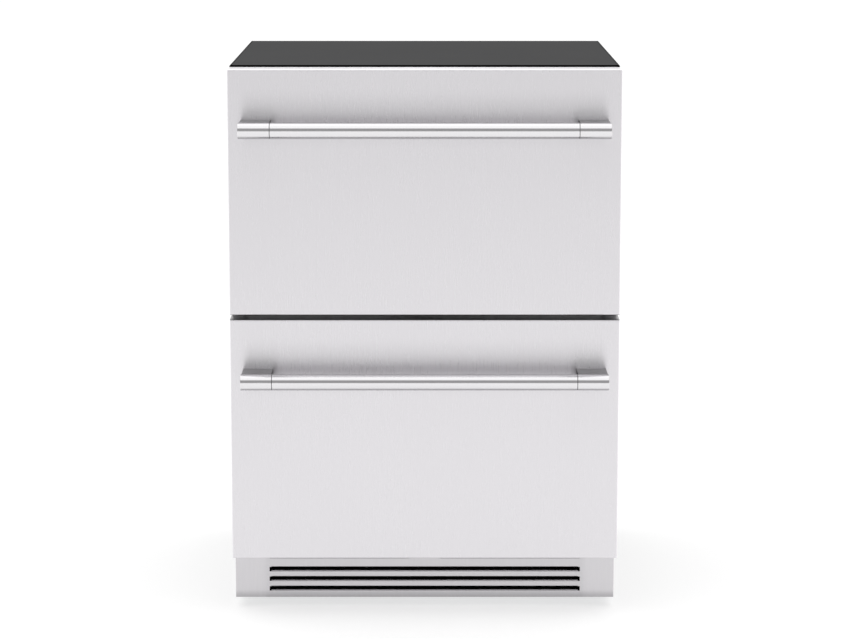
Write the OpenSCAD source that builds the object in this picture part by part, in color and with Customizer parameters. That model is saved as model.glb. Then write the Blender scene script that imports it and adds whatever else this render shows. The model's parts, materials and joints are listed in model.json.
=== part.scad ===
// Undercounter refrigerator with two drawers, in millimetres. +Z is up and the drawers open towards -Y.
// The origin is on the floor, under the middle of the overall outline.

/* [Cabinet] */
// Width of the cabinet and of both drawer fronts
cabinet_w = 606; // [540:1:680]
// Depth of the cabinet, from its face frame to its back
cabinet_d = 552; // [530:1:620]
// Height of the top above the floor, with the feet screwed in
cabinet_h = 870; // [800:1:920]
// Thickness of the outer steel sheets
sheet_t = 1.2; // [0.8:0.1:1.6]
// Outside radius of the folds of the top, the sides and the drawer fronts
bend_r = 2; // [1.8:0.1:3]
// Height of the turned-down edge of the top
top_skirt = 6; // [4:0.5:12]
// Width of the side panels' inturned edges
side_flange = 16; // [12:1:24]
// Height of the base pan above the floor
base_gap = 20; // [16:1:28]
// Height of the base pan's rear edge, which carries the anti-tip screws
base_rear_h = 25; // [20:1:30]
// Distance between the two anti-tip screws
anti_tip_spacing = 120; // [80:1:200]
// Radius of the anti-tip screw holes
anti_tip_r = 3.3; // [2:0.1:4]

/* [Insulated box] */
// Foam thickness at the two sides
side_foam = 38; // [34:1:46]
// Foam thickness at the top
top_foam = 38; // [30:1:44]
// Foam thickness at the back
rear_foam = 42; // [34:1:50]
// Foam thickness in front of the machine space
machine_foam = 38; // [30:1:46]
// Foam thickness under the floor and over the machine space
floor_foam = 38; // [30:1:42]
// Thickness of the inner liner
liner_t = 1.5; // [1:0.1:2.5]
// Radius of the liner's long corners
liner_r = 12; // [8:0.5:16]
// Depth of the inturned edges round the face frame's two windows
window_lip = 6; // [4:0.5:8]
// Height of the rail between the two drawers
rail_h = 46; // [42:1:54]
// Depth of the rail between the two drawers
rail_d = 32; // [24:1:40]

/* [Machine space] */
// Depth of the machine space, from the back of the cabinet
machine_d = 197; // [192:1:210]
// Height of the machine space's ceiling above the base pan
machine_h = 212; // [204:1:230]

/* [Drawer fronts] */
// Height of the lower front's lower edge above the floor
front_rise = 98; // [96:0.5:104]
// Thickness of each drawer front
door_t = 50; // [40:1:60]
// Space between the two fronts
door_gap = 7.5; // [5:0.5:10]
// Space between the cabinet's top and the upper front
top_reveal = 2.5; // [2:0.5:5]
// Thickness of the fronts' outer skin
skin_t = 1; // [0.7:0.1:1.4]
// Width of the skin's inturned edge at the back
skin_flange = 25; // [22:1:30]
// Thickness of the fronts' inner panel
panel_t = 2; // [1.5:0.1:3]
// How far the inner panel bulges past the front's back face
panel_bulge = 6; // [4:0.5:7]
// Space that the compressed gasket fills
gasket_gap = 8; // [7.5:0.5:10]
// Width of the gasket's foot
gasket_w = 13; // [11:0.5:13]
// Distance from the front's edge to the gasket
gasket_inset = 5; // [3:0.5:6]

/* [Handles] */
// Diameter of the handle tube
handle_d = 25; // [18:0.5:32]
// Wall of the handle tube
handle_wall = 1.5; // [1:0.1:2.5]
// How far the handle stands out from the drawer front
handle_reach = 64; // [56:1:80]
// Distance from the front's upper edge down to the tube's axis
handle_drop = 89; // [60:1:140]
// Distance from the front's side edge to the tube's end
handle_inset = 19; // [10:1:60]
// Length of each end piece
handle_end_l = 49; // [40:1:70]
// How far each end piece's post stands inside the end piece's outer end
handle_post_inset = 1.4; // [1:0.1:8]
// How far the post stands from the seam
handle_post_gap = 0.6; // [0.5:0.1:12]
// How much lower the post is than the tube
handle_post_trim = 0.6; // [0.4:0.1:8]
// Length of the spigot that plugs the tube
handle_spigot_l = 18; // [10:1:30]

/* [Bins] */
// Depth inside the upper bin, from its rim to its floor
upper_bin_h = 205; // [120:1:210]
// Depth inside the lower bin, from its rim to its floor
lower_bin_h = 230; // [120:1:250]
// Wall of the bins
bin_t = 1.5; // [1:0.1:2]
// Radius of the bins' corners
bin_r = 14; // [6:0.5:20]
// Width of the bins' rim
bin_rim = 8; // [4:0.5:9]
// Space under each bin
bin_lift = 10; // [6:0.5:14]
// Space between the upper bin and the evaporator's cover
upper_bin_back = 12; // [8:1:40]
// Space between the lower bin and the liner's step
lower_bin_back = 8; // [6:1:40]
// Height of the slides' middle above the bins' floor
slide_rise = 36; // [28:1:60]

/* [Slides] */
// Height of the telescopic slides
slide_h = 45; // [40:0.5:50]
// Width of the slides, from the liner to the bin
slide_w = 13; // [12.7:0.1:14]
// How much shorter the slides are than their bins
slide_short = 12; // [8:1:40]
// Sheet thickness of the slides
slide_t = 1.4; // [1.2:0.1:1.5]
// Diameter of the bearing balls
ball_d = 3.1; // [2.8:0.1:3.4]
// Balls in each row
ball_n = 7; // [3:1:9]
// Distance between the balls
ball_pitch = 14; // [8:1:16]

/* [Toe kick] */
// How far the toe kick stands behind the face frame
toe_recess = 9; // [6:0.5:20]
// Height of the toe kick's lower edge above the floor
toe_lift = 17; // [12:0.5:17]
// How far the toe kick's ends stand inside the cabinet's sides
toe_inset = 0.5; // [0:0.5:6]
// Number of long louvre openings
louvre_rows = 3; // [2:1:3]
// Distance from the toe kick's ends to the louvre openings
louvre_margin = 54; // [30:1:120]
// Height of the louvre openings
louvre_h = 5.8; // [4:0.1:7.5]
// Distance from one louvre to the next
louvre_pitch = 15.9; // [15:0.1:17]
// Height of the lowest opening above the toe kick's lower edge
louvre_rise = 12; // [10:0.5:14]
// Radius of the louvres' inturned lips
lip_r = 2.2; // [1.7:0.1:2.6]
// Depth of the lips' straight part
lip_d = 3; // [1:0.5:6]
// Height of the split upper row above the row below it
split_row_rise = 21.5; // [18:0.5:24]
// Width of the bridge in the middle of the upper row
bridge_w = 50; // [30:1:80]
// Width of the relief notch at each end of an opening
notch_w = 3; // [1.5:0.1:5]
// Depth of the relief notch below the opening
notch_h = 1.6; // [0.8:0.1:2]

/* [Cooling] */
// Radius of the compressor's shell
compressor_r = 68; // [60:1:70]
// Height of the compressor's shell
compressor_h = 150; // [130:1:156]
// Distance from the cabinet's right side to the compressor's axis
compressor_side = 113; // [106:1:130]
// Distance from the cabinet's left side to the middle of the condenser
condenser_side = 81; // [76:1:90]
// Distance from the back of the cabinet to the middle of the compressor and the condenser
cooling_back = 102; // [98:1:106]
// Depth of the condenser
condenser_d = 60; // [48:1:64]
// Length of the condenser
condenser_l = 130; // [100:1:136]
// Rows of tubes in the condenser
condenser_rows = 7; // [4:1:8]
// Fins of the condenser
condenser_fins = 30; // [10:1:40]
// Radius of the condenser fan's opening
fan_r = 70; // [50:1:72]
// Height of the condenser fan's axis above the base pan
fan_rise = 98; // [88:1:100]
// Blades of the condenser fan
fan_blades = 5; // [3:1:7]
// Depth of the space behind the evaporator's cover
evap_space = 51; // [48:1:64]
// Width of the evaporator
evap_w = 340; // [260:1:380]
// Height of the evaporator
evap_h = 120; // [90:1:140]
// Depth of the evaporator
evap_d = 38; // [30:1:42]
// Distance from the top of the cold box down to the evaporator's foot
evap_drop = 260; // [230:1:300]
// Rows of tubes in the evaporator
evaporator_rows = 5; // [3:1:6]
// Fins of the evaporator
evaporator_fins = 32; // [10:1:40]
// Radius of the evaporator fan's opening
evap_fan_r = 39; // [30:1:42]
// Distance from the top of the cold box down to the evaporator fan's axis
evap_fan_drop = 57; // [54:1:70]
// Radius of the heat exchangers' tubes
coil_tube_r = 4; // [3:0.5:5]
// Radius of the refrigerant pipes
pipe_r = 3.5; // [2.5:0.5:4]
// Radius of the pipes' wide bends
pipe_bend = 14; // [10:1:18]
// Radius of the pipes' narrow bends
pipe_tight = 9; // [8:0.5:10]
// Radius of the filter drier
drier_r = 10; // [8:0.5:12]
// Length of the filter drier
drier_l = 110; // [80:1:120]
// Radius of the supply cord's hole in its gland
cord_r = 3.9; // [3:0.1:5]
// Distance from the middle of the cabinet to the gland
gland_x = 80; // [60:1:110]
// Height of the gland above the base pan
gland_rise = 50; // [44:1:80]

/* [Light and controls] */
// Length of the light's lens
light_l = 220; // [120:1:260]
// Width of the light's lens
light_w = 28; // [20:1:36]
// Length of the touch panel
panel_l = 96; // [70:1:110]
// Depth of the touch panel
panel_d = 44; // [30:1:56]
// Height of the touch panel
panel_h = 15; // [10:0.5:18]
// Length of the control box
box_l = 110; // [80:1:120]
// Depth of the control box
box_d = 60; // [40:1:70]
// Height of the control box
box_h = 70; // [50:1:80]

/* [Feet] */
// Radius of the feet
foot_r = 20; // [14:0.5:24]
// Radius of the feet's threaded stems
stem_r = 5; // [4:0.1:6]
// Length of the stems above the feet
stem_l = 38; // [34:1:44]
// Distance from the cabinet's side to each foot's axis
foot_side = 28; // [26:1:36]
// Distance from the back of the cabinet to the rear feet's axes
foot_rear = 29; // [26:1:32]
// Distance from the face frame to the front feet's axes
foot_front = 112; // [108:1:140]

/* [Hidden] */
$fn = 48;

LEFT = -1;
RIGHT = 1;
// Clearance between pieces that move past each other
run_gap = 0.3;
// Radial clearance of a shaft or a thread in its hole
fit_gap = 0.05;
// How far a cutting solid passes the face that it cuts
cut = 1;

// Places along the depth
handle_y = -(cabinet_d + gasket_gap + door_t + handle_reach) / 2;
door_y = handle_y + handle_reach;
door_back_y = door_y + door_t;
frame_y = door_back_y + gasket_gap;
back_y = frame_y + cabinet_d;
shell_y = frame_y + sheet_t;
shell_back_y = back_y - sheet_t;
foam_y = shell_y + sheet_t;
foam_back_y = shell_back_y - sheet_t;
fold_r = bend_r - sheet_t;
toe_y = frame_y + toe_recess;
machine_y = back_y - machine_d;

// Places along the height
door_h = (cabinet_h - top_reveal - door_gap - front_rise) / 2;
skirt_z = cabinet_h - top_skirt;
under_top_z = cabinet_h - sheet_t;
upper_door_z = cabinet_h - top_reveal - door_h;
lower_door_z = upper_door_z - door_gap - door_h;
floor_z = base_gap + sheet_t;
ceiling_z = base_gap + machine_h;
box_z = lower_door_z;
rail_z = upper_door_z - (door_gap + rail_h) / 2;

// The insulated box
side_x = cabinet_w / 2 - sheet_t;
foam_x = side_x - sheet_t;
cavity_x = foam_x - side_foam - liner_t;
cavity_z = box_z + sheet_t + floor_foam + liner_t;
cavity_top_z = under_top_z - top_foam - liner_t;
cavity_back_y = foam_back_y - rear_foam - liner_t;
step_y = machine_y - sheet_t - machine_foam - liner_t;
step_z = ceiling_z + floor_foam + liner_t;

// The bins and slides
bin_x = cavity_x - slide_w;
bin_y = frame_y + run_gap;
bracket_y = door_back_y + panel_bulge;
cover_y = cavity_back_y - evap_space;
upper_bin_l = cover_y - upper_bin_back - bin_y;
lower_bin_l = step_y - lower_bin_back - bin_y;
upper_bin_z = rail_z + rail_h + bin_lift;
lower_bin_z = cavity_z + bin_lift;
slide_clear = 3;
slide_y = frame_y + sheet_t + window_lip + slide_clear;
upper_slide_l = upper_bin_l - slide_short;
lower_slide_l = lower_bin_l - slide_short;
upper_slide_z = upper_bin_z + slide_rise;
lower_slide_z = lower_bin_z + slide_rise;
// Half heights of the slides' three members
outer_half = slide_h / 2;
mid_half = outer_half - slide_t - ball_d;
inner_half = mid_half - slide_t - ball_d;
// Places of the members between the liner and the bin
outer_clear = 2.6;
mid_clear = 2;
mid_back = 3;
inner_back = 5.6;
outer_row_x = 6.5;
inner_row_x = 8;
// Distance from the members' ends to the rows of balls
ball_margin = 4;

// The toe kick
toe_w = cabinet_w - 2 * toe_inset;
louvre_l = toe_w - 2 * louvre_margin;

// The machine space
compressor_x = cabinet_w / 2 - compressor_side;
compressor_y = back_y - cooling_back;
plate_rise = 15;
plate_t = 5;
plate_z = floor_z + plate_rise;
// The shell's lower end sinks into its plate
shell_z = plate_z + plate_t - 1;
grommet_x = 70;
grommet_y = 36;
neck_r = 8;
grommet_r = neck_r + 5;
stub_x = 32;
stub_h = 8;
condenser_x = condenser_side - cabinet_w / 2;
condenser_y = back_y - cooling_back;
// Space over the condenser
coil_headroom = 26;
condenser_h = machine_h - coil_headroom;
fan_z = floor_z + fan_rise;
shroud_x = condenser_x + condenser_d / 2;
shroud_d = 16;
shroud_margin = 10;
shroud_w = condenser_l + 2 * shroud_margin;
// Space between the fans' rims and their rotors
tip_gap = 4;
blade_d = 16;
blade_gap = 4;
motor_gap = 22;
motor_r = 26;
motor_l = 34;
// How far the motors' arms stand outside the fans' openings
arm_margin = 12;
shaft_r = 3;
shaft_end = 1;
// The drain pan lies between the fan's motor and the compressor's grommets
drain_clear_left = 30;
drain_clear_right = 17;
drain_x0 = shroud_x + shroud_d + motor_gap + motor_l + drain_clear_left;
drain_x1 = compressor_x - grommet_x - grommet_r - drain_clear_right;
drain_setback = 60;
drain_y = machine_y + drain_setback;
box_setback = 90;
box_y = machine_y + box_setback;
gland_z = base_gap + gland_rise;
gland_r = 9;
drier_x = -30;
drier_y = machine_y + drier_r + run_gap;
drier_rise = 42;
drier_z = floor_z + drier_rise;
// How far the pipe that rises into the insulation stands behind the drier
riser_step = 40;

// The cold box's cooling, light and controls
evap_z = cavity_top_z - evap_drop;
evap_fan_z = cavity_top_z - evap_fan_drop;
evap_blade_d = 12;
evap_motor_r = 18;
evap_motor_gap = 26;
evap_motor_clear = 2;
evap_motor_l = evap_space - evap_motor_gap - evap_motor_clear;
evap_arm_margin = 8;
cover_inset = 21;
light_setback = 36;
light_y = frame_y + light_setback;
panel_side = 28;
panel_setback = 40;
panel_y = frame_y + panel_setback;

// ---- Forms used by several pieces ----

// Rectangle standing on the X axis, with its two upper corners rounded
module fold_outline(w, h, r) {
    translate([-w / 2, 0]) square([w, h - r]);
    translate([-w / 2 + r, 0]) square([w - 2 * r, h]);
    for (s = [LEFT, RIGHT]) translate([s * (w / 2 - r), h - r]) circle(r);
}

// Block standing on z = 0, with its four top edges rounded
module fold_block(w, d, h, r) {
    intersection() {
        rotate([90, 0, 0]) translate([0, 0, -d / 2]) linear_extrude(d) fold_outline(w, h, r);
        rotate([90, 0, 90]) translate([0, 0, -w / 2]) linear_extrude(w) fold_outline(d, h, r);
    }
}

// Folded sheet pan, upside down
module folded_pan(w, d, h, t, r) {
    difference() {
        fold_block(w, d, h, r);
        translate([0, 0, -cut]) fold_block(w - 2 * t, d - 2 * t, h - t + cut, r - t);
    }
}

// Centred rectangle with four rounded corners
module round_rect(w, h, r) {
    square([w - 2 * r, h], center = true);
    square([w, h - 2 * r], center = true);
    for (sx = [LEFT, RIGHT], sy = [LEFT, RIGHT]) translate([sx * (w / 2 - r), sy * (h / 2 - r)]) circle(r);
}

// Extrusion of a front view along +Y from y, with its drawn y as height
module from_front(y, depth) {
    translate([0, y + depth, 0]) rotate([90, 0, 0]) linear_extrude(depth) children();
}

// Extrusion of a side view along X, centred, with its drawn x as y and its drawn y as height
module from_side(width) {
    rotate([90, 0, 90]) translate([0, 0, -width / 2]) linear_extrude(width) children();
}

// Drawn on the right, and mirrored for the left
module on_side(side) {
    if (side == RIGHT) children();
    else mirror([1, 0, 0]) children();
}

// Quarter bend of a pipe that arrives along u and leaves along v, with its corner at p
module bend(p, u, v, bend_r, r) {
    c = p - bend_r * u + bend_r * v;
    w = cross(u, v);
    multmatrix([
        [-v.x, u.x, w.x, c.x],
        [-v.y, u.y, w.y, c.y],
        [-v.z, u.z, w.z, c.z],
        [0, 0, 0, 1]
    ]) rotate_extrude(angle = 90) translate([bend_r, 0]) circle(r);
}

// Straight pipe from a to b, which lie along one axis
module straight(a, b, r) {
    d = b - a;
    l = norm(d);
    turn = d.z != 0 ? [d.z > 0 ? 0 : 180, 0, 0]
        : d.y != 0 ? [d.y > 0 ? -90 : 90, 0, 0]
        : [0, d.x > 0 ? 90 : -90, 0];
    translate(a) rotate(turn) cylinder(r = r, h = l);
}

// Pipe through corner points that lie square to each other
module pipe(points, r, bend_r) {
    n = len(points);
    way = [for (i = [0:n - 2]) (points[i + 1] - points[i]) / norm(points[i + 1] - points[i])];
    for (i = [0:n - 2])
        straight(
            points[i] + (i > 0 ? bend_r : 0) * way[i],
            points[i + 1] - (i < n - 2 ? bend_r : 0) * way[i],
            r
        );
    for (i = [1:n - 2]) bend(points[i], way[i - 1], way[i], bend_r, r);
}

// Finned coil along X, centred: fins across it, rows of tubes through it and hairpins at its ends
module finned_coil(l, d, h, fins, rows, r) {
    pitch_z = h / rows;
    tube_y = d / 4;
    end_t = 1.5;
    fin_t = 0.6;
    for (i = [1:fins - 2])
        translate([-l / 2 + i * l / (fins - 1) - fin_t / 2, -d / 2, -h / 2]) cube([fin_t, d, h]);
    for (s = [0, 1]) translate([-l / 2 + s * (l - end_t), -d / 2, -h / 2]) cube([end_t, d, h]);
    for (i = [0:rows - 1], s = [LEFT, RIGHT])
        translate([-l / 2, s * tube_y, -h / 2 + (i + 0.5) * pitch_z])
            rotate([0, 90, 0]) cylinder(r = r, h = l);
    // Hairpins join the two tubes of a row on the right, and go up a row on the left
    for (i = [0:rows - 1])
        translate([l / 2, 0, -h / 2 + (i + 0.5) * pitch_z]) rotate([0, 0, -90])
            rotate_extrude(angle = 180) translate([tube_y, 0]) circle(r);
    for (i = [0:rows - 2])
        translate([-l / 2, (i % 2 == 0 ? RIGHT : LEFT) * tube_y, -h / 2 + (i + 1) * pitch_z])
            rotate([90, 0, 0]) rotate([0, 0, 90])
                rotate_extrude(angle = 180) translate([pitch_z / 2, 0]) circle(r);
}

// Fan rotor on the Z axis: a hub and slanted blades
module rotor(r, hub_r, d, blades, bore_r) {
    blade_t = 1.4;
    blade_angle = 34;
    // The slanted plates pass the rim and both faces, and are cut to them
    over = 1.2;
    difference() {
        union() {
            cylinder(r = hub_r, h = d);
            intersection() {
                difference() {
                    cylinder(r = r, h = d);
                    translate([0, 0, -cut]) cylinder(r = hub_r - cut, h = d + 2 * cut);
                }
                for (i = [0:blades - 1])
                    rotate([0, 0, i * 360 / blades]) translate([r / 2, 0, d / 2]) rotate([blade_angle, 0, 0])
                        cube([r * over, 2 * d, blade_t], center = true);
            }
        }
        translate([0, 0, -cut]) cylinder(r = bore_r, h = d + 2 * cut);
    }
}

// Fan motor on the Z axis: a case under z = 0, its shaft above, and arms that turn up to the panel
module fan_motor(case_r, case_l, shaft_h, arms, arm_r, arm_rise) {
    arm_w = 8;
    arm_t = 2;
    boss_h = 4;
    boss_r = 0.7 * case_r;
    root = 4;
    translate([0, 0, -case_l]) cylinder(r = case_r, h = case_l - boss_h);
    translate([0, 0, -boss_h]) cylinder(r = boss_r, h = boss_h);
    cylinder(r = shaft_r, h = shaft_h);
    for (i = [0:arms - 1]) rotate([0, 0, 45 + i * 360 / arms]) {
        translate([case_r - root, -arm_w / 2, -case_l / 2]) cube([arm_r - case_r + root, arm_w, arm_t]);
        translate([arm_r - arm_t, -arm_w / 2, -case_l / 2]) cube([arm_t, arm_w, case_l / 2 + arm_rise]);
    }
}

// ---- Cabinet ----

module top_panel() {
    color("dimgray") translate([0, (frame_y + back_y) / 2, skirt_z])
        folded_pan(cabinet_w, cabinet_d, top_skirt, sheet_t, bend_r);
}

module side_panel(side) {
    l = shell_back_y - shell_y;
    color("dimgray") on_side(side) difference() {
        translate([side_x - side_flange, (shell_y + shell_back_y) / 2, floor_z])
            rotate([0, 0, -90]) linear_extrude(under_top_z - fold_r - floor_z) difference() {
                fold_outline(l, side_flange, bend_r);
                translate([0, -cut]) fold_outline(l - 2 * sheet_t, side_flange - sheet_t + cut, fold_r);
            }
        // Recess behind the toe kick
        translate([side_x - side_flange - cut, shell_y - cut, floor_z - cut])
            cube([side_flange + 2 * cut, toe_recess + cut, box_z - floor_z + cut]);
    }
}

module rear_panel() {
    color("silver") translate([-side_x, shell_back_y, ceiling_z])
        cube([2 * side_x, sheet_t, skirt_z - ceiling_z]);
}

module rear_vent_cover() {
    w = 2 * (foam_x - sheet_t - run_gap);
    h = ceiling_z - sheet_t - floor_z - 2 * run_gap;
    y = foam_back_y - sheet_t;
    vent_l = 56;
    vent_h = 5;
    vent_pitch = 13;
    vent_rows = 9;
    vent_rise = 48;
    column_x = 36;
    color("dimgray") difference() {
        translate([-w / 2, y, floor_z + run_gap]) cube([w, sheet_t, h]);
        // Two columns of slots behind the condenser, and two behind the compressor
        for (x = [condenser_x, compressor_x], s = [LEFT, RIGHT], i = [0:vent_rows - 1])
            from_front(y - cut, sheet_t + 2 * cut)
                translate([x + s * column_x, floor_z + vent_rise + i * vent_pitch])
                    round_rect(vent_l, vent_h, vent_h / 2 - 0.1);
        from_front(y - cut, sheet_t + 2 * cut) translate([gland_x, gland_z]) circle(gland_r + fit_gap);
    }
}

module at_feet() {
    for (s = [LEFT, RIGHT], y = [frame_y + foot_front, back_y - foot_rear])
        translate([s * (cabinet_w / 2 - foot_side), y, 0]) children();
}

module base_pan() {
    front_h = 6;
    side_h = 30;
    bush_h = 12;
    bush_t = 6;
    pan_y = toe_y + sheet_t;
    color("gray") difference() {
        union() {
            translate([-side_x, pan_y, base_gap]) cube([2 * side_x, back_y - pan_y, sheet_t]);
            translate([-foam_x, pan_y, base_gap]) cube([2 * foam_x, sheet_t, front_h]);
            translate([-side_x, shell_back_y, base_gap]) cube([2 * side_x, sheet_t, base_rear_h]);
            for (s = [LEFT, RIGHT]) on_side(s)
                translate([foam_x - sheet_t, pan_y, base_gap])
                    cube([sheet_t, foam_back_y - fold_r - pan_y, side_h]);
            at_feet() translate([0, 0, floor_z - cut]) cylinder(r = stem_r + bush_t, h = bush_h + cut);
        }
        at_feet() translate([0, 0, base_gap - cut])
            cylinder(r = stem_r + fit_gap, h = bush_h + sheet_t + 2 * cut);
        for (s = [LEFT, RIGHT])
            from_front(shell_back_y - cut, sheet_t + 2 * cut)
                translate([s * anti_tip_spacing / 2, base_gap + base_rear_h / 2]) circle(anti_tip_r);
    }
}

module machine_bulkhead() {
    color("silver") from_side(2 * foam_x) polygon([
        [foam_y, box_z], [machine_y, box_z], [machine_y, ceiling_z - sheet_t],
        [foam_back_y, ceiling_z - sheet_t], [foam_back_y, ceiling_z],
        [machine_y - sheet_t, ceiling_z], [machine_y - sheet_t, box_z + sheet_t], [foam_y, box_z + sheet_t]
    ]);
}

// Inside of the cold box, grown outwards by t, from y = start
module cavity(t, start) {
    w = 2 * (cavity_x + t);
    h = cavity_top_z - cavity_z + 2 * t;
    intersection() {
        from_side(w) polygon([
            [start, cavity_z - t], [step_y + t, cavity_z - t], [step_y + t, step_z - t],
            [cavity_back_y + t, step_z - t], [cavity_back_y + t, cavity_top_z + t], [start, cavity_top_z + t]
        ]);
        from_front(start, cavity_back_y + t - start)
            translate([0, (cavity_top_z + cavity_z) / 2]) round_rect(w, h, liner_r + t);
    }
}

module insulation() {
    color("khaki") difference() {
        intersection() {
            from_side(2 * foam_x) polygon([
                [foam_y, box_z + sheet_t], [machine_y - sheet_t, box_z + sheet_t],
                [machine_y - sheet_t, ceiling_z], [foam_back_y, ceiling_z],
                [foam_back_y, under_top_z], [foam_y, under_top_z]
            ]);
            translate([0, (foam_y + foam_back_y) / 2, 0])
                linear_extrude(cabinet_h) round_rect(2 * foam_x, foam_back_y - foam_y, fold_r);
        }
        cavity(liner_t, foam_y - cut);
    }
}

module liner() {
    color("gainsboro") difference() {
        cavity(liner_t, shell_y);
        cavity(0, shell_y - cut);
    }
}

// Front view of a window's edge, between the heights z0 and z1
module window(z0, z1, t) {
    translate([0, (z0 + z1) / 2]) round_rect(2 * (cavity_x - t), z1 - z0 - 2 * t, liner_r - t);
}

module face_frame() {
    windows = [[cavity_z, rail_z], [rail_z + rail_h, cavity_top_z]];
    color("lightsteelblue") {
        from_front(frame_y, sheet_t) difference() {
            translate([-side_x, box_z]) square([2 * side_x, skirt_z - box_z]);
            for (w = windows) window(w[0], w[1], sheet_t);
        }
        for (w = windows) from_front(frame_y, sheet_t + window_lip) difference() {
            window(w[0], w[1], 0);
            window(w[0], w[1], sheet_t);
        }
    }
}

module centre_rail() {
    z0 = rail_z;
    z1 = rail_z + rail_h;
    color("gainsboro") from_side(2 * cavity_x) difference() {
        translate([shell_y, z0]) square([rail_d, rail_h]);
        translate([shell_y + sheet_t, z0 + sheet_t]) square([rail_d - 2 * sheet_t, rail_h - 2 * sheet_t]);
    }
}

// ---- Toe kick ----

// Side view of the lip above an opening whose upper edge is at z = 0; the sheet's face is at y = 0
module lip_outline() {
    intersection() {
        translate([lip_r, lip_r]) difference() {
            circle(lip_r);
            circle(lip_r - sheet_t);
        }
        square(lip_r);
    }
    translate([lip_r, 0]) square([lip_d, sheet_t]);
}

// One louvre opening: its cut, from x0 to x1 above z
module louvre_cut(x0, x1, z) {
    translate([x0 + notch_w, z - lip_r]) square([x1 - x0 - 2 * notch_w, louvre_h + 2 * lip_r]);
    translate([x0, z - notch_h]) square([x1 - x0, louvre_h + notch_h]);
}

// The two rolled lips of one louvre opening
module louvre_lips(x0, x1, z) {
    l = x1 - x0 - 2 * notch_w;
    translate([(x0 + x1) / 2, toe_y, z + louvre_h]) from_side(l) lip_outline();
    translate([(x0 + x1) / 2, toe_y, z]) from_side(l) mirror([0, 1]) lip_outline();
}

module toe_kick() {
    reveal = 2;
    top_z = lower_door_z - reveal;
    fold_d = 16;
    top_fold_d = 4;
    split_z = toe_lift + louvre_rise + (louvre_rows - 1) * louvre_pitch + split_row_rise;
    half = louvre_l / 2;
    rows = concat(
        [for (i = [0:louvre_rows - 1]) [-half, half, toe_lift + louvre_rise + i * louvre_pitch]],
        [[-half, -bridge_w / 2, split_z], [bridge_w / 2, half, split_z]]
    );
    color("silver") {
        from_front(toe_y, sheet_t) difference() {
            translate([-toe_w / 2, toe_lift]) square([toe_w, top_z - toe_lift]);
            for (r = rows) louvre_cut(r[0], r[1], r[2]);
        }
        for (r = rows) louvre_lips(r[0], r[1], r[2]);
        // Folded edges: a deep one below, and a short one between the side panels above
        translate([-toe_w / 2, toe_y, toe_lift]) cube([toe_w, fold_d, sheet_t]);
        translate([-foam_x, toe_y, top_z - sheet_t]) cube([2 * foam_x, sheet_t + top_fold_d, sheet_t]);
    }
}

// ---- Cooling ----

module compressor() {
    top_r = 40;
    low_r = 22;
    seam_z = 0.55 * compressor_h;
    seam_w = 3;
    seam_t = 3.5;
    terminals = [40, 52, 62];
    terminals_x = 22;
    terminals_z = 40;
    plate_margin = [16, 13];
    plate_r = 14;
    color([0.1, 0.1, 0.11]) translate([compressor_x, compressor_y, 0]) {
        translate([0, 0, shell_z]) {
            rotate_extrude() intersection() {
                union() {
                    translate([0, compressor_h / 2]) fold_outline(2 * compressor_r, compressor_h / 2, top_r);
                    translate([0, compressor_h / 2]) mirror([0, 1])
                        fold_outline(2 * compressor_r, compressor_h / 2, low_r);
                }
                square([compressor_r, compressor_h]);
            }
            // Welded seam of the two half shells
            translate([0, 0, seam_z]) cylinder(r = compressor_r + seam_w, h = seam_t);
            // Cover of the electrical terminals
            translate([-compressor_r - terminals_x, -terminals.y / 2, terminals_z]) cube(terminals);
            // Stubs of the discharge and suction pipes
            translate([-stub_x, 0, compressor_h - stub_h]) cylinder(r = pipe_r + 1, h = 2 * stub_h);
            translate([stub_x, 0, compressor_h - stub_h]) cylinder(r = pipe_r + 2, h = 2 * stub_h);
        }
        difference() {
            translate([0, 0, plate_z]) linear_extrude(plate_t)
                round_rect(2 * (grommet_x + plate_margin.x), 2 * (grommet_y + plate_margin.y), plate_r);
            for (sx = [LEFT, RIGHT], sy = [LEFT, RIGHT])
                translate([sx * grommet_x, sy * grommet_y, plate_z - cut])
                    cylinder(r = neck_r + run_gap, h = plate_t + 2 * cut);
        }
    }
}

module compressor_grommets() {
    bore_r = 3.2;
    foot_r = neck_r + 4;
    head_r = neck_r + 3;
    crown_r = neck_r + 1;
    bevel = 5;
    top = plate_rise + plate_t;
    color([0.15, 0.15, 0.15]) for (sx = [LEFT, RIGHT], sy = [LEFT, RIGHT])
        translate([compressor_x + sx * grommet_x, compressor_y + sy * grommet_y, floor_z])
            rotate_extrude() polygon([
                [bore_r, 0], [foot_r, 0], [grommet_r, bevel], [grommet_r, plate_rise], [neck_r, plate_rise],
                [neck_r, top], [head_r, top], [crown_r, top + bevel], [bore_r, top + bevel]
            ]);
}

module condenser() {
    color("peru") translate([condenser_x, condenser_y, floor_z + condenser_h / 2]) rotate([0, 0, 90])
        finned_coil(condenser_l, condenser_d, condenser_h, condenser_fins, condenser_rows, coil_tube_r);
}

module condenser_fan_shroud() {
    rim_d = 10;
    face_x = shroud_d - sheet_t;
    color("dimgray") translate([shroud_x, condenser_y, floor_z]) difference() {
        union() {
            difference() {
                translate([0, -shroud_w / 2, 0]) cube([shroud_d, shroud_w, condenser_h]);
                translate([-cut, -shroud_w / 2 + sheet_t, sheet_t])
                    cube([face_x + cut, shroud_w - 2 * sheet_t, condenser_h - 2 * sheet_t]);
            }
            translate([face_x, 0, fan_rise]) rotate([0, 90, 0]) cylinder(r = fan_r + sheet_t, h = rim_d);
        }
        translate([face_x - cut, 0, fan_rise]) rotate([0, 90, 0]) cylinder(r = fan_r, h = rim_d + 2 * cut);
    }
}

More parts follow.
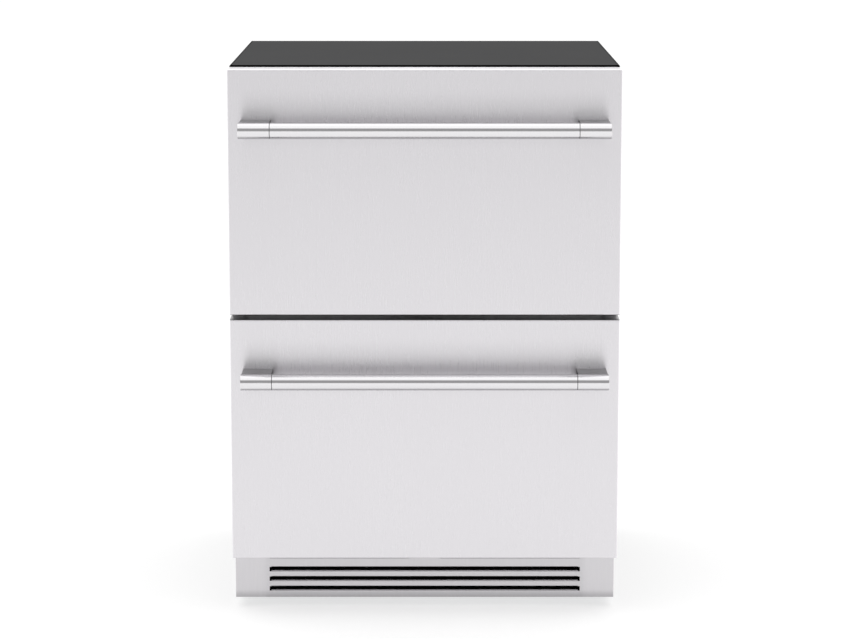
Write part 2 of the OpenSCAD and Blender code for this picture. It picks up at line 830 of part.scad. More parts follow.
module condenser_fan_motor() {
    color("silver") translate([shroud_x + shroud_d + motor_gap, condenser_y, fan_z]) rotate([0, -90, 0])
        fan_motor(motor_r, motor_l, motor_gap - blade_gap + shaft_end, 4, fan_r + arm_margin, motor_gap);
}

module condenser_fan_blade() {
    hub_r = 18;
    color([0.2, 0.2, 0.22]) translate([shroud_x + shroud_d + blade_gap, condenser_y, fan_z])
        rotate([0, 90, 0]) rotor(fan_r - tip_gap, hub_r, blade_d, fan_blades, shaft_r + fit_gap);
}

module drain_pan() {
    l = drain_x1 - drain_x0;
    d = 90;
    h = 24;
    wall = 2;
    r = 6;
    color([0.25, 0.25, 0.27]) translate([(drain_x0 + drain_x1) / 2, drain_y, floor_z]) difference() {
        translate([0, 0, h]) mirror([0, 0, 1]) fold_block(l, d, h, r);
        translate([0, 0, h + wall]) mirror([0, 0, 1]) fold_block(l - 2 * wall, d - 2 * wall, h, r - wall);
    }
}

module filter_drier() {
    neck = 8;
    taper = 16;
    color("peru") translate([drier_x - drier_l / 2, drier_y, drier_z]) rotate([0, 90, 0])
        rotate_extrude() polygon([
            [0, 0], [pipe_r, 0], [pipe_r, neck], [drier_r, taper], [drier_r, drier_l - taper],
            [pipe_r, drier_l - neck], [pipe_r, drier_l], [0, drier_l]
        ]);
}

module refrigerant_pipes() {
    stub_z = shell_z + compressor_h + stub_h;
    headroom = 3;
    line_z = ceiling_z - sheet_t - pipe_r - headroom;
    hot_x = compressor_x - stub_x;
    cold_x = compressor_x + stub_x;
    // The coil's free ends, at its front
    end_y = condenser_y - condenser_l / 2;
    row_h = condenser_h / condenser_rows;
    in_x = condenser_x - condenser_d / 4;
    out_x = condenser_x + condenser_d / 4;
    in_z = floor_z + condenser_h - row_h / 2;
    out_z = floor_z + row_h / 2;
    // How far the pipes run straight on from the drier's ends
    lead = 30;
    drier_in_x = drier_x - drier_l / 2;
    drier_out_x = drier_x + drier_l / 2;
    riser_y = drier_y + riser_step;
    color("peru") {
        // Hot gas from the compressor to the condenser's top
        pipe([
            [hot_x, compressor_y, stub_z], [hot_x, compressor_y, line_z], [hot_x, drier_y, line_z],
            [in_x, drier_y, line_z], [in_x, drier_y, in_z], [in_x, end_y, in_z]
        ], pipe_r, pipe_tight);
        // Liquid from the condenser's foot to the drier
        pipe([
            [out_x, end_y, out_z], [out_x, drier_y, out_z], [drier_in_x - lead, drier_y, out_z],
            [drier_in_x - lead, drier_y, drier_z], [drier_in_x, drier_y, drier_z]
        ], pipe_r, pipe_tight);
        // From the drier up into the insulation
        pipe([
            [drier_out_x, drier_y, drier_z], [drier_out_x + lead, drier_y, drier_z],
            [drier_out_x + lead, riser_y, drier_z], [drier_out_x + lead, riser_y, ceiling_z - sheet_t]
        ], pipe_r, pipe_bend);
        // Cold gas back to the compressor
        straight([cold_x, compressor_y, stub_z], [cold_x, compressor_y, ceiling_z - sheet_t], pipe_r + 1);
    }
}

module control_box() {
    wall = 2;
    color("gainsboro") translate([-box_l / 2, box_y, ceiling_z - sheet_t - box_h]) difference() {
        cube([box_l, box_d, box_h]);
        translate([wall, wall, wall]) cube([box_l - 2 * wall, box_d - 2 * wall, box_h - 2 * wall]);
    }
}

module cord_gland() {
    head = shell_back_y - foam_back_y + sheet_t;
    thread_l = 12;
    flange = 3.5;
    nut_t = 5;
    nut_w = 4;
    color([0.1, 0.1, 0.1]) translate([gland_x, foam_back_y, gland_z]) rotate([-90, 0, 0]) difference() {
        union() {
            translate([0, 0, -thread_l]) cylinder(r = gland_r, h = thread_l + head / 2);
            cylinder(r = gland_r + flange, h = head);
            translate([0, 0, -sheet_t - nut_t]) cylinder(r = gland_r + nut_w, h = nut_t, $fn = 6);
        }
        translate([0, 0, -thread_l - cut]) cylinder(r = cord_r, h = thread_l + head + 2 * cut);
    }
}

module evaporator() {
    color("lightgray") translate([0, cavity_back_y - evap_d / 2, evap_z + evap_h / 2])
        finned_coil(evap_w, evap_d, evap_h, evaporator_fins, evaporator_rows, coil_tube_r);
}

module evaporator_cover() {
    w = 2 * (cavity_x - cover_inset);
    rise = 16;
    z0 = step_z + rise;
    h = cavity_top_z - z0;
    rim_d = 10;
    vent = [100, 6];
    vent_x = 130;
    vent_rise = 24;
    vent_pitch = 14;
    vent_rows = 8;
    color("gainsboro") difference() {
        union() {
            translate([-w / 2, cover_y, z0]) cube([w, sheet_t, h]);
            for (s = [LEFT, RIGHT]) on_side(s)
                translate([w / 2 - sheet_t, cover_y, z0]) cube([sheet_t, evap_space, h]);
            from_front(cover_y, rim_d) translate([0, evap_fan_z]) circle(evap_fan_r + sheet_t);
        }
        from_front(cover_y - cut, rim_d + 2 * cut) translate([0, evap_fan_z]) circle(evap_fan_r);
        for (i = [-1:1], j = [0:vent_rows - 1])
            from_front(cover_y - cut, sheet_t + 2 * cut)
                translate([i * vent_x, z0 + vent_rise + j * vent_pitch])
                    round_rect(vent.x, vent.y, vent.y / 2 - 0.1);
    }
}

module evaporator_fan_motor() {
    color("silver") translate([0, cover_y + evap_motor_gap, evap_fan_z]) rotate([90, 0, 0]) fan_motor(
        evap_motor_r, evap_motor_l, evap_motor_gap - blade_gap, 4,
        evap_fan_r + evap_arm_margin, evap_motor_gap - sheet_t
    );
}

module evaporator_fan_blade() {
    hub_r = 10;
    blades = 5;
    color([0.2, 0.2, 0.22]) translate([0, cover_y + blade_gap + evap_blade_d, evap_fan_z])
        rotate([90, 0, 0]) rotor(evap_fan_r - tip_gap, hub_r, evap_blade_d, blades, shaft_r + fit_gap);
}

module light_lens() {
    h = 6;
    r = 3;
    color("white") translate([0, light_y, cavity_top_z]) mirror([0, 0, 1]) fold_block(light_l, light_w, h, r);
}

module control_panel() {
    r = 4;
    color("dimgray") translate([cavity_x - panel_side - panel_l / 2, panel_y, cavity_top_z])
        mirror([0, 0, 1]) fold_block(panel_l, panel_d, panel_h, r);
}

// ---- Slides: front views of the right-hand members, with the liner's wall at x = 0 ----

module outer_section() {
    lip = 1.6;
    w = slide_w - outer_clear;
    difference() {
        translate([-w, -outer_half]) square([w, slide_h]);
        translate([-w + slide_t, -outer_half + slide_t]) square([w - 2 * slide_t, slide_h - 2 * slide_t]);
        translate([-slide_w, -outer_half + slide_t + lip])
            square([slide_w - slide_t, slide_h - 2 * (slide_t + lip)]);
    }
}

module mid_section() {
    w = slide_w - mid_back - mid_clear;
    translate([-mid_back - w, -mid_half]) difference() {
        square([w, 2 * mid_half]);
        translate([-cut, slide_t]) square([w - slide_t + cut, 2 * (mid_half - slide_t)]);
    }
}

module inner_section() {
    w = slide_w - inner_back;
    translate([-slide_w, -inner_half]) difference() {
        square([w, 2 * inner_half]);
        translate([slide_t, slide_t]) square([w - slide_t + cut, 2 * (inner_half - slide_t)]);
    }
}

// Row of balls along Y above the race at z, sunk a little into the race above them or below them
module ball_row(x, y, z, keep_up) {
    hold = 0.1;
    for (i = [0:ball_n - 1])
        translate([x, y + (i + 0.5) * ball_pitch, z + ball_d / 2 + (keep_up ? hold : -hold)])
            sphere(d = ball_d);
}

module slide_outer(side, z, l) {
    color("silver") on_side(side) from_front(slide_y, l) translate([cavity_x, z]) outer_section();
}

module slide_mid(side, z, l) {
    row_l = ball_n * ball_pitch;
    color("lightgray") on_side(side) {
        from_front(slide_y, l) translate([cavity_x, z]) mid_section();
        for (s = [0, 1]) mirror([0, 0, s]) translate([0, 0, s == 0 ? z : -z]) {
            ball_row(cavity_x - outer_row_x, slide_y + l - row_l - ball_margin, mid_half, false);
            ball_row(cavity_x - inner_row_x, slide_y + ball_margin, inner_half, true);
        }
    }
}

module slide_inner(side, z, l) {
    bracket_w = 34;
    bracket_h = 64;
    color("silver") on_side(side) {
        from_front(slide_y, l) translate([cavity_x, z]) inner_section();
        from_front(bracket_y, slide_y - bracket_y) translate([bin_x, z - inner_half])
            square([slide_t, 2 * inner_half]);
        translate([bin_x - bracket_w, bracket_y, z - bracket_h / 2])
            cube([bracket_w + slide_t, frame_y - bracket_y, bracket_h]);
    }
}

// ---- Drawer fronts; z is the front's lower edge ----

// Front view of a border that follows the front's outline, from one distance inside it to another
module border(z, from, to) {
    difference() {
        translate([-cabinet_w / 2 + from, z + from]) square([cabinet_w - 2 * from, door_h - 2 * from]);
        translate([-cabinet_w / 2 + to, z + to]) square([cabinet_w - 2 * to, door_h - 2 * to]);
    }
}

module door_skin(z) {
    color("lightsteelblue") {
        translate([0, door_back_y, z + door_h / 2]) rotate([90, 0, 0])
            folded_pan(cabinet_w, door_h, door_t, skin_t, bend_r);
        from_front(door_back_y - skin_t, skin_t) border(z, 0, skin_flange);
    }
}

// Front view of the inner panel's bulge
module bulge(z, t) {
    edge = 4;
    inset = skin_flange + edge + t;
    translate([0, z + door_h / 2]) round_rect(cabinet_w - 2 * inset, door_h - 2 * inset, liner_r - t);
}

module door_panel(z) {
    color("gainsboro") difference() {
        union() {
            from_front(door_back_y - skin_t - panel_t, panel_t)
                translate([-cabinet_w / 2 + skin_t, z + skin_t])
                    square([cabinet_w - 2 * skin_t, door_h - 2 * skin_t]);
            from_front(door_back_y - skin_t - panel_t, panel_t + skin_t + panel_bulge) bulge(z, 0);
        }
        from_front(door_back_y - skin_t - panel_t - cut, skin_t + panel_bulge + cut) bulge(z, panel_t);
    }
}

module door_foam(z) {
    color("khaki") {
        translate([0, door_back_y - skin_t - panel_t, z + door_h / 2]) rotate([90, 0, 0]) fold_block(
            cabinet_w - 2 * skin_t, door_h - 2 * skin_t, door_t - 2 * skin_t - panel_t, bend_r - skin_t
        );
        from_front(door_back_y - skin_t - panel_t - cut, skin_t + panel_bulge + cut) bulge(z, panel_t);
    }
}

// Foot, waist and magnet bulb of the gasket
module gasket(z) {
    foot_t = 2.5;
    bulb_t = 3.5;
    waist = 3;
    bulb_inset = 1;
    color([0.35, 0.35, 0.37]) {
        from_front(door_back_y, foot_t) border(z, gasket_inset, gasket_inset + gasket_w);
        from_front(door_back_y, gasket_gap - run_gap)
            border(z, gasket_inset + waist, gasket_inset + gasket_w - waist);
        from_front(frame_y - run_gap - bulb_t, bulb_t)
            border(z, gasket_inset + bulb_inset, gasket_inset + gasket_w - bulb_inset);
    }
}

// ---- Handles; z is the front's lower edge ----

module on_handle_axis(z) {
    translate([0, handle_y + handle_d / 2, z + door_h - handle_drop]) children();
}

module handle_tube(z) {
    l = cabinet_w - 2 * handle_inset - 2 * handle_end_l;
    color("lightsteelblue") on_handle_axis(z) rotate([0, 90, 0]) difference() {
        cylinder(d = handle_d, h = l, center = true);
        cylinder(d = handle_d - 2 * handle_wall, h = l + 2 * cut, center = true);
    }
}

module handle_ends(z) {
    end_x = cabinet_w / 2 - handle_inset;
    chamfer = 0.8;
    seam = 0.4;
    post_w = handle_end_l - seam - handle_post_inset - handle_post_gap;
    post_h = handle_d - handle_post_trim;
    r = handle_d / 2;
    spigot_r = r - handle_wall - fit_gap;
    l = handle_end_l - seam;
    tip = handle_end_l + handle_spigot_l;
    color("lightsteelblue") on_handle_axis(z) for (s = [LEFT, RIGHT]) on_side(s) {
        translate([end_x, 0, 0]) rotate([0, -90, 0]) rotate_extrude() polygon([
            [0, 0], [r - chamfer, 0], [r, chamfer], [r, l], [spigot_r, l], [spigot_r, tip], [0, tip]
        ]);
        translate([end_x - handle_post_inset - post_w, 0, -post_h / 2])
            cube([post_w, handle_reach - r, post_h]);
    }
}

// ---- Bins; z is the bin's underside ----

module bin(z, h, l) {
    w = 2 * bin_x;
    outer_h = h + bin_t;
    vent = [26, 5];
    vent_pitch = 48;
    vent_z = 0.7 * outer_h;
    color("lightgray") translate([0, bin_y + l / 2, z]) difference() {
        union() {
            linear_extrude(outer_h) round_rect(w, l, bin_r);
            translate([0, 0, outer_h - bin_t]) linear_extrude(bin_t) round_rect(w + 2 * bin_rim, l, bin_r);
        }
        translate([0, 0, bin_t]) linear_extrude(outer_h)
            round_rect(w - 2 * bin_t, l - 2 * bin_t, bin_r - bin_t);
        // Air slots along the rear wall
        for (i = [-4:4])
            translate([i * vent_pitch, l / 2 + cut, vent_z]) rotate([90, 0, 0])
                linear_extrude(bin_t + 2 * cut) round_rect(vent.x, vent.y, vent.y / 2 - 0.1);
    }
}

// ---- Feet ----

module foot(side, y) {
    pad_h = 4;
    cone_h = 8;
    cone_w = 5;
    nut_h = 6;
    nut_w = 5;
    tip = 1;
    top_z = cone_h + stem_l;
    color([0.2, 0.2, 0.2]) translate([side * (cabinet_w / 2 - foot_side), y, 0]) {
        rotate_extrude() polygon([
            [0, 0], [foot_r, 0], [foot_r, pad_h], [foot_r - cone_w, cone_h], [stem_r, cone_h],
            [stem_r, top_z - tip], [stem_r - tip, top_z], [0, top_z]
        ]);
        translate([0, 0, cone_h]) cylinder(r = stem_r + nut_w, h = nut_h, $fn = 6);
    }
}

// ---- One line for each piece ----

top_panel();
side_panel(LEFT);  // side_panel_left
side_panel(RIGHT);  // side_panel_right
rear_panel();
rear_vent_cover();
base_pan();
machine_bulkhead();
insulation();
liner();
face_frame();
centre_rail();
toe_kick();
compressor();
compressor_grommets();
condenser();
condenser_fan_shroud();
condenser_fan_motor();
condenser_fan_blade();
drain_pan();
filter_drier();
refrigerant_pipes();
control_box();
cord_gland();
evaporator();
evaporator_cover();
evaporator_fan_motor();
evaporator_fan_blade();
light_lens();
control_panel();
slide_outer(LEFT, upper_slide_z, upper_slide_l);  // upper_slide_outer_left
slide_outer(RIGHT, upper_slide_z, upper_slide_l);  // upper_slide_outer_right
slide_outer(LEFT, lower_slide_z, lower_slide_l);  // lower_slide_outer_left
slide_outer(RIGHT, lower_slide_z, lower_slide_l);  // lower_slide_outer_right
slide_mid(LEFT, upper_slide_z, upper_slide_l);  // upper_slide_mid_left
slide_mid(RIGHT, upper_slide_z, upper_slide_l);  // upper_slide_mid_right
slide_mid(LEFT, lower_slide_z, lower_slide_l);  // lower_slide_mid_left
slide_mid(RIGHT, lower_slide_z, lower_slide_l);  // lower_slide_mid_right
slide_inner(LEFT, upper_slide_z, upper_slide_l);  // upper_slide_inner_left
slide_inner(RIGHT, upper_slide_z, upper_slide_l);  // upper_slide_inner_right
slide_inner(LEFT, lower_slide_z, lower_slide_l);  // lower_slide_inner_left
slide_inner(RIGHT, lower_slide_z, lower_slide_l);  // lower_slide_inner_right
door_skin(upper_door_z);  // upper_door_skin
door_panel(upper_door_z);  // upper_door_panel
door_foam(upper_door_z);  // upper_door_foam
gasket(upper_door_z);  // upper_gasket
handle_tube(upper_door_z);  // upper_handle_tube
handle_ends(upper_door_z);  // upper_handle_ends
bin(upper_bin_z, upper_bin_h, upper_bin_l);  // upper_bin
door_skin(lower_door_z);  // lower_door_skin
door_panel(lower_door_z);  // lower_door_panel
door_foam(lower_door_z);  // lower_door_foam
gasket(lower_door_z);  // lower_gasket
handle_tube(lower_door_z);  // lower_handle_tube
handle_ends(lower_door_z);  // lower_handle_ends
bin(lower_bin_z, lower_bin_h, lower_bin_l);  // lower_bin
foot(LEFT, frame_y + foot_front);  // foot_front_left
foot(RIGHT, frame_y + foot_front);  // foot_front_right
foot(LEFT, back_y - foot_rear);  // foot_rear_left
foot(RIGHT, back_y - foot_rear);  // foot_rear_right
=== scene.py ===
"""Undercounter drawer refrigerator: its finishes, dressed hardware, stage, lights and camera.

The packed frame gives every body and CAD piece at its place. This script paints each of them, adds the fine
pieces that ride on the bodies, and sets a plain pale stage. Lengths are in metres, in the frame's own axes.
"""
import json
import logging
import math
from dataclasses import dataclass
from enum import Enum, StrEnum, auto
from typing import Any, Optional, Sequence, Union

import bmesh
import bpy
from mathutils import Matrix, Vector


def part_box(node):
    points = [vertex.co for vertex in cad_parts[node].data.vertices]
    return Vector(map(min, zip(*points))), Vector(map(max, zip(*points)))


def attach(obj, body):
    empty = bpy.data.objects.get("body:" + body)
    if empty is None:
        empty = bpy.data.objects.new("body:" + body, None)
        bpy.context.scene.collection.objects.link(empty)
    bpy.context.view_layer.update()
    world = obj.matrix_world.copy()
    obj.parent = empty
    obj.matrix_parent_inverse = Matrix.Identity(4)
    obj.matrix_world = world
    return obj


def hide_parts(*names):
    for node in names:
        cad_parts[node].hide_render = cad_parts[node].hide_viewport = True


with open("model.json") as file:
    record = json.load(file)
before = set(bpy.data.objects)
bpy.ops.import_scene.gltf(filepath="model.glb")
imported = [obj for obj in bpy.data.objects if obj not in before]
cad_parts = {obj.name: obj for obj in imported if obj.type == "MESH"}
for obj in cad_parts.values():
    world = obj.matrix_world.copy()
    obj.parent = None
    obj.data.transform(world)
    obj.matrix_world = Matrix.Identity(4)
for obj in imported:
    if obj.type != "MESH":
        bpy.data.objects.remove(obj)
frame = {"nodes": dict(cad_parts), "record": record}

LOG = logging.getLogger("drawer_refrigerator")
MM = 0.001
Pair = tuple[float, float]
Triple = tuple[float, float, float]
Colour = Triple


class Level(StrEnum):
    """The two drawers."""

    UPPER = auto()
    LOWER = auto()


class Side(StrEnum):
    """The two sides, as seen from the front."""

    LEFT = auto()
    RIGHT = auto()

    @property
    def sign(self) -> int:
        """Returns the side's direction along X."""
        return 1 if self is Side.RIGHT else -1


# ---- Shader formulas ----


class Value:
    """A number in a node tree, which can be used in formulas."""

    def __init__(self, graph: "Graph", socket: bpy.types.NodeSocket) -> None:
        """Wraps one output socket of a graph."""
        self.graph = graph
        self.socket = socket

    def _math(self, operation: str, *terms: "Number") -> "Value":
        """Adds one Math node for the terms."""
        return self.graph.number("ShaderNodeMath", {"operation": operation}, dict(enumerate(terms)))

    def __add__(self, other: "Number") -> "Value":
        """Adds a number."""
        return self._math("ADD", self, other)

    def __sub__(self, other: "Number") -> "Value":
        """Takes a number away."""
        return self._math("SUBTRACT", self, other)

    def __rsub__(self, other: "Number") -> "Value":
        """Takes this number away from another."""
        return self._math("SUBTRACT", other, self)

    def __mul__(self, other: "Number") -> "Value":
        """Multiplies by a number."""
        return self._math("MULTIPLY", self, other)

    def __pow__(self, other: "Number") -> "Value":
        """Raises this number to a power."""
        return self._math("POWER", self, other)

    def __abs__(self) -> "Value":
        """Returns this number without its sign."""
        return self._math("ABSOLUTE", self)

    __radd__ = __add__
    __rmul__ = __mul__

    def wave(self) -> "Value":
        """Returns the sine of this number."""
        return self._math("SINE", self)

    def most(self, other: "Number") -> "Value":
        """Returns the greater of two numbers."""
        return self._math("MAXIMUM", self, other)

    def ridge(self, at: float, width: float) -> "Value":
        """Returns a smooth ridge of height 1 where this number is near a value."""
        return self.rise(at - width, at) * (1.0 - self.rise(at, at + width))

    def rise(self, low: float, high: float) -> "Value":
        """Goes smoothly from 0 where this number is low to 1 where it is high."""
        return self.graph.number("ShaderNodeMapRange", {"interpolation_type": "SMOOTHSTEP"},
                                 {"Value": self, "From Min": low, "From Max": high})


Number = Union[float, Value]


class Graph:
    """A node tree whose nodes all come from one method."""

    def __init__(self, tree: bpy.types.NodeTree) -> None:
        """Empties a node tree and takes it over."""
        self.tree = tree
        tree.nodes.clear()

    def give(self, socket: bpy.types.NodeSocket, value: Any) -> None:
        """Links an input, or sets it.

        Args:
            socket: The input.
            value: A Value or an output to link, or a number, vector or colour to set.
        """
        if isinstance(value, Value):
            value = value.socket
        if isinstance(value, bpy.types.NodeSocket):
            self.tree.links.new(value, socket)
        else:
            socket.default_value = value

    def node(self, kind: str, settings: Optional[dict[str, Any]] = None,
             values: Optional[dict[Any, Any]] = None) -> bpy.types.Node:
        """Adds one node: its settings first, and then its values and links.

        Args:
            kind: The node's type.
            settings: Properties of the node.
            values: What its inputs are given, by name or place.

        Returns:
            The node.
        """
        made = self.tree.nodes.new(kind)
        for name, setting in (settings or {}).items():
            setattr(made, name, setting)
        for name, value in (values or {}).items():
            self.give(made.inputs[name], value)
        return made

    def number(self, kind: str, settings: Optional[dict[str, Any]], values: dict[Any, Any],
               output: Union[int, str] = 0) -> Value:
        """Adds one node and reads one of its outputs as a number."""
        return Value(self, self.node(kind, settings, values).outputs[output])

    def parts(self, vector: bpy.types.NodeSocket) -> tuple[Value, Value, Value]:
        """Splits a vector into its three numbers."""
        made = self.node("ShaderNodeSeparateXYZ", values={0: vector})
        return tuple(Value(self, out) for out in made.outputs)

    def scaled(self, vector: bpy.types.NodeSocket, scale: Triple) -> bpy.types.NodeSocket:
        """Multiplies a vector by another, part by part."""
        return self.node("ShaderNodeVectorMath", {"operation": "MULTIPLY"}, {0: vector, 1: scale}).outputs[0]

    def seen(self, beyond: Number = 1.0) -> Value:
        """Tells the rays that see a white background: the camera's, and those off metal and through glass.

        Args:
            beyond: The share of the rays off metal and through glass that see it.

        Returns:
            1 for the camera's rays, beyond for the others that see it, and 0 for the rest.
        """
        path = self.node("ShaderNodeLightPath")
        camera, glossy, through = (Value(self, path.outputs[name])
                                   for name in ("Is Camera Ray", "Is Glossy Ray", "Is Transmission Ray"))
        return camera.most(glossy.most(through) * beyond)

    def blend(self, factor: Number, low: Any, high: Any) -> bpy.types.NodeSocket:
        """Mixes two colours, from low at a factor of 0 to high at 1."""
        low, high = ((*c, 1.0) if isinstance(c, tuple) else c for c in (low, high))
        return self.node("ShaderNodeMix", {"data_type": "RGBA"}, {0: factor, 6: low, 7: high}).outputs[2]


class Paint(Graph):
    """A material under construction, with its Principled shader and the helpers that the finishes share."""

    def __init__(self, name: str, **constants: float) -> None:
        """Starts a material.

        Args:
            name: The material's name.
            constants: Values of the shader's sockets, with underscores for spaces.
        """
        self.material = bpy.data.materials.new(name)
        self.material.use_nodes = True
        super().__init__(self.material.node_tree)
        values = {key.replace("_", " "): value for key, value in constants.items()}
        self.shader = self.node("ShaderNodeBsdfPrincipled", values=values)
        self.node("ShaderNodeOutputMaterial", values={"Surface": self.shader.outputs[0]})
        self.place = self.node("ShaderNodeTexCoord").outputs["Object"]

    def feed(self, name: str, value: Any) -> None:
        """Links one of the shader's inputs, or sets it."""
        self.give(self.shader.inputs[name], value)

    def noise(self, scale: Union[float, Triple], detail: float = 2.0, rough: float = 0.5,
              twist: float = 0.0) -> Value:
        """Noise around 0 in the object's own space.

        Args:
            scale: Waves a metre, along all three axes or along each.
            detail: Finer layers of the noise.
            rough: How strong the finer layers are.
            twist: How far the noise is distorted.

        Returns:
            A number from about -0.5 to 0.5.
        """
        waves = scale if isinstance(scale, tuple) else (scale, scale, scale)
        return self.number("ShaderNodeTexNoise", {}, {
            "Vector": self.scaled(self.place, waves), "Scale": 1.0, "Detail": detail, "Roughness": rough,
            "Distortion": twist}) - 0.5

    def cells(self, scale: float, output: str = "Distance") -> Value:
        """Cells of about 1 / scale metres, of which one output is read."""
        return self.number("ShaderNodeTexVoronoi", {}, {"Vector": self.place, "Scale": scale}, output)

    def tinted(self, colour: Union[Colour, bpy.types.NodeSocket], amount: Value) -> bpy.types.NodeSocket:
        """Makes a colour lighter or darker by an amount around 0, which is a share of the colour."""
        made = self.node("ShaderNodeVectorMath", {"operation": "SCALE"}, {0: colour, 3: 1.0 + amount})
        return made.outputs[0]

    def finish(self, colour: Any, roughness: Number, height: Optional[Value] = None, depth: float = 0.0,
               strength: float = 1.0) -> bpy.types.Material:
        """Feeds the shader and ends the material.

        Args:
            colour: The base colour's socket.
            roughness: The roughness.
            height: The surface's relief, around 0.
            depth: Depth in metres of a relief of 1.
            strength: The strength of the relief.

        Returns:
            The material.
        """
        self.feed("Base Color", colour)
        self.feed("Roughness", roughness)
        if height is not None:
            values = {"Strength": strength, "Distance": depth, "Height": height}
            self.feed("Normal", self.node("ShaderNodeBump", values=values).outputs[0])
        return self.material


# ---- Finishes ----


class Grain(Enum):
    """Direction in which a sheet was brushed: the axis along which its spots are stretched."""

    UPRIGHT = (False, False, True)
    LENGTHWISE = (True, False, False)
    DEEP = (False, True, False)

    def at(self, fineness: float, stretch: float) -> Triple:
        """Scales a noise, in waves a metre across the grain, to spots that are longer than wide."""
        return tuple(fineness / stretch if along else fineness for along in self.value)


@dataclass(frozen=True)
class BrushedSteel:
    """Brushed stainless steel sheet or tube."""

    colour: Colour
    roughness: float
    grain: Grain = Grain.UPRIGHT
    spread: float = 0.6
    streak: float = 0.065
    scratch: float = 0.00002
    turn: float = 0.0

    def paint(self, name: str) -> bpy.types.Material:
        """Builds the material: fine scratches, wider streaks, faint handling marks, and the light and shade
        painted on some pieces.

        Args:
            name: The material's name.

        Returns:
            The material.
        """
        p = Paint(name, Metallic=1.0, Anisotropic=self.spread, Anisotropic_Rotation=self.turn)
        fine = p.noise(self.grain.at(2400.0, 60.0), 3.0, 0.7)
        strokes = p.noise(self.grain.at(330.0, 14.0), 2.0, 0.6)
        streaks = p.noise(self.grain.at(240.0, 80.0), 3.0, 0.6)
        marks = p.noise(3.1, 3.0, 0.6, 0.4)
        tone = fine * 0.06 + strokes * self.streak + streaks * 0.3 * self.streak + marks * 0.015
        rough = self.roughness + fine * 0.10 + strokes * 0.06 + marks * 0.04
        colour = p.tinted(self.colour, self.worn(p, tone))
        return p.finish(colour, rough, fine + strokes * 0.5, self.scratch, 0.35)

    def worn(self, p: Paint, tone: Value) -> Value:
        """Adds the light and shade painted on one piece to its tone, which is none on plain sheet."""
        return tone


@dataclass(frozen=True, kw_only=True)
class DoorSteel(BrushedSteel):
    """Skin of a drawer front: painted highlights on its side folds, a painted highlight or painted shade on
    its top face as each drawer is given, painted shade along its underside, and a band of painted shade round
    the handle's top, lightened again by painted light where the posts stand.
    """

    low: Vector
    high: Vector
    handle: Vector
    # Painted light on the top face: above 0 a painted highlight, below 0 painted shade.
    top: float
    # Painted shade along the underside.
    underside: float
    side_fold: float = 2.4 * MM
    top_fold: float = 1.2 * MM
    handle_ends: Pair = (14 * MM, 2 * MM)
    post_ends: Pair = (54 * MM, 44 * MM)
    band_h: float = 50 * MM
    patch_h: float = 18 * MM
    patch_drop: float = 4 * MM

    def worn(self, p: Paint, tone: Value) -> Value:
        """Paints highlights on the folds, light or shade on the top face, shade on the underside and round
        the handle's top, and light where the posts stand.

        Args:
            p: The material under construction.
            tone: The tone of the plain sheet.

        Returns:
            The tone of this piece.
        """
        x, _, z = p.parts(p.place)
        end, (inside, outside), (post, full) = self.handle.x, self.handle_ends, self.post_ends
        span = 1.0 - abs(x).rise(end - inside, end + outside)
        posts = span * abs(x).rise(end - post, end - full)
        # Painted highlight along the side folds.
        tone = tone + abs(x).rise(self.high.x - self.side_fold, self.high.x - self.side_fold / 4) * 0.10
        # Painted highlight or painted shade along the top fold, by the given amount.
        tone = tone + z.rise(self.high.z - self.top_fold, self.high.z - self.top_fold / 4) * self.top
        # Painted shade in a band round the handle's top, standing in for the handle's shadow and reflection.
        tone = tone - z.ridge(self.handle.z, self.band_h) * span * 0.15
        # Painted light where the posts stand, lifting that shade again.
        tone = tone + z.ridge(self.handle.z - self.patch_drop, self.patch_h) * posts * 0.32
        # Painted shade along the underside.
        return tone - z.ridge(self.low.z, self.top_fold) * self.underside


@dataclass(frozen=True, kw_only=True)
class KickSteel(BrushedSteel):
    """Toe kick: painted highlights on the rolled lips, and painted shade over the louvre field and along the
    lower edge.
    """

    low: Vector
    high: Vector
    field_inset: float = 54 * MM
    field_fade: float = 12 * MM
    lip: Pair = (0.05 * MM, 0.6 * MM)
    edge_h: float = 14 * MM

    def worn(self, p: Paint, tone: Value) -> Value:
        """Paints shade over the louvre field and along the lower edge, and highlights on the rolled lips.

        Args:
            p: The material under construction.
            tone: The tone of the plain sheet.

        Returns:
            The tone of this piece.
        """
        x, y, z = p.parts(p.place)
        field_x = self.high.x - self.field_inset
        louvres = 1.0 - abs(x).rise(field_x, field_x + self.field_fade)
        lips = (y - self.low.y).rise(*self.lip)
        edge = 1.0 - z.rise(self.low.z, self.low.z + self.edge_h)
        # Painted shade over the louvre field and the lower edge, and painted highlights on the lips in the
        # field.
        return tone - louvres * 0.07 - edge * 0.30 + louvres * lips * 0.45


@dataclass(frozen=True, kw_only=True)
class HandleSteel(BrushedSteel):
    """Handle tube and caps: polished steel, with painted shade along its underside."""

    low_z: float
    stripe: Pair = (2.6 * MM, 5.8 * MM)

    def worn(self, p: Paint, tone: Value) -> Value:
        """Paints shade along the tube's lowest band."""
        up = p.parts(p.place)[2] - self.low_z
        return tone - (1.0 - up.rise(*self.stripe)) * 0.42


@dataclass(frozen=True, kw_only=True)
class PostSteel(BrushedSteel):
    """Handle post: dull steel, with painted shade that darkens its inner side almost to black."""

    inner_x: float
    skin: Pair = (0.2 * MM, 0.9 * MM)

    def worn(self, p: Paint, tone: Value) -> Value:
        """Paints shade on the side that faces the handle's middle."""
        outward = abs(p.parts(p.place)[0]) - self.inner_x
        return tone - (1.0 - outward.rise(*self.skin)) * 0.93


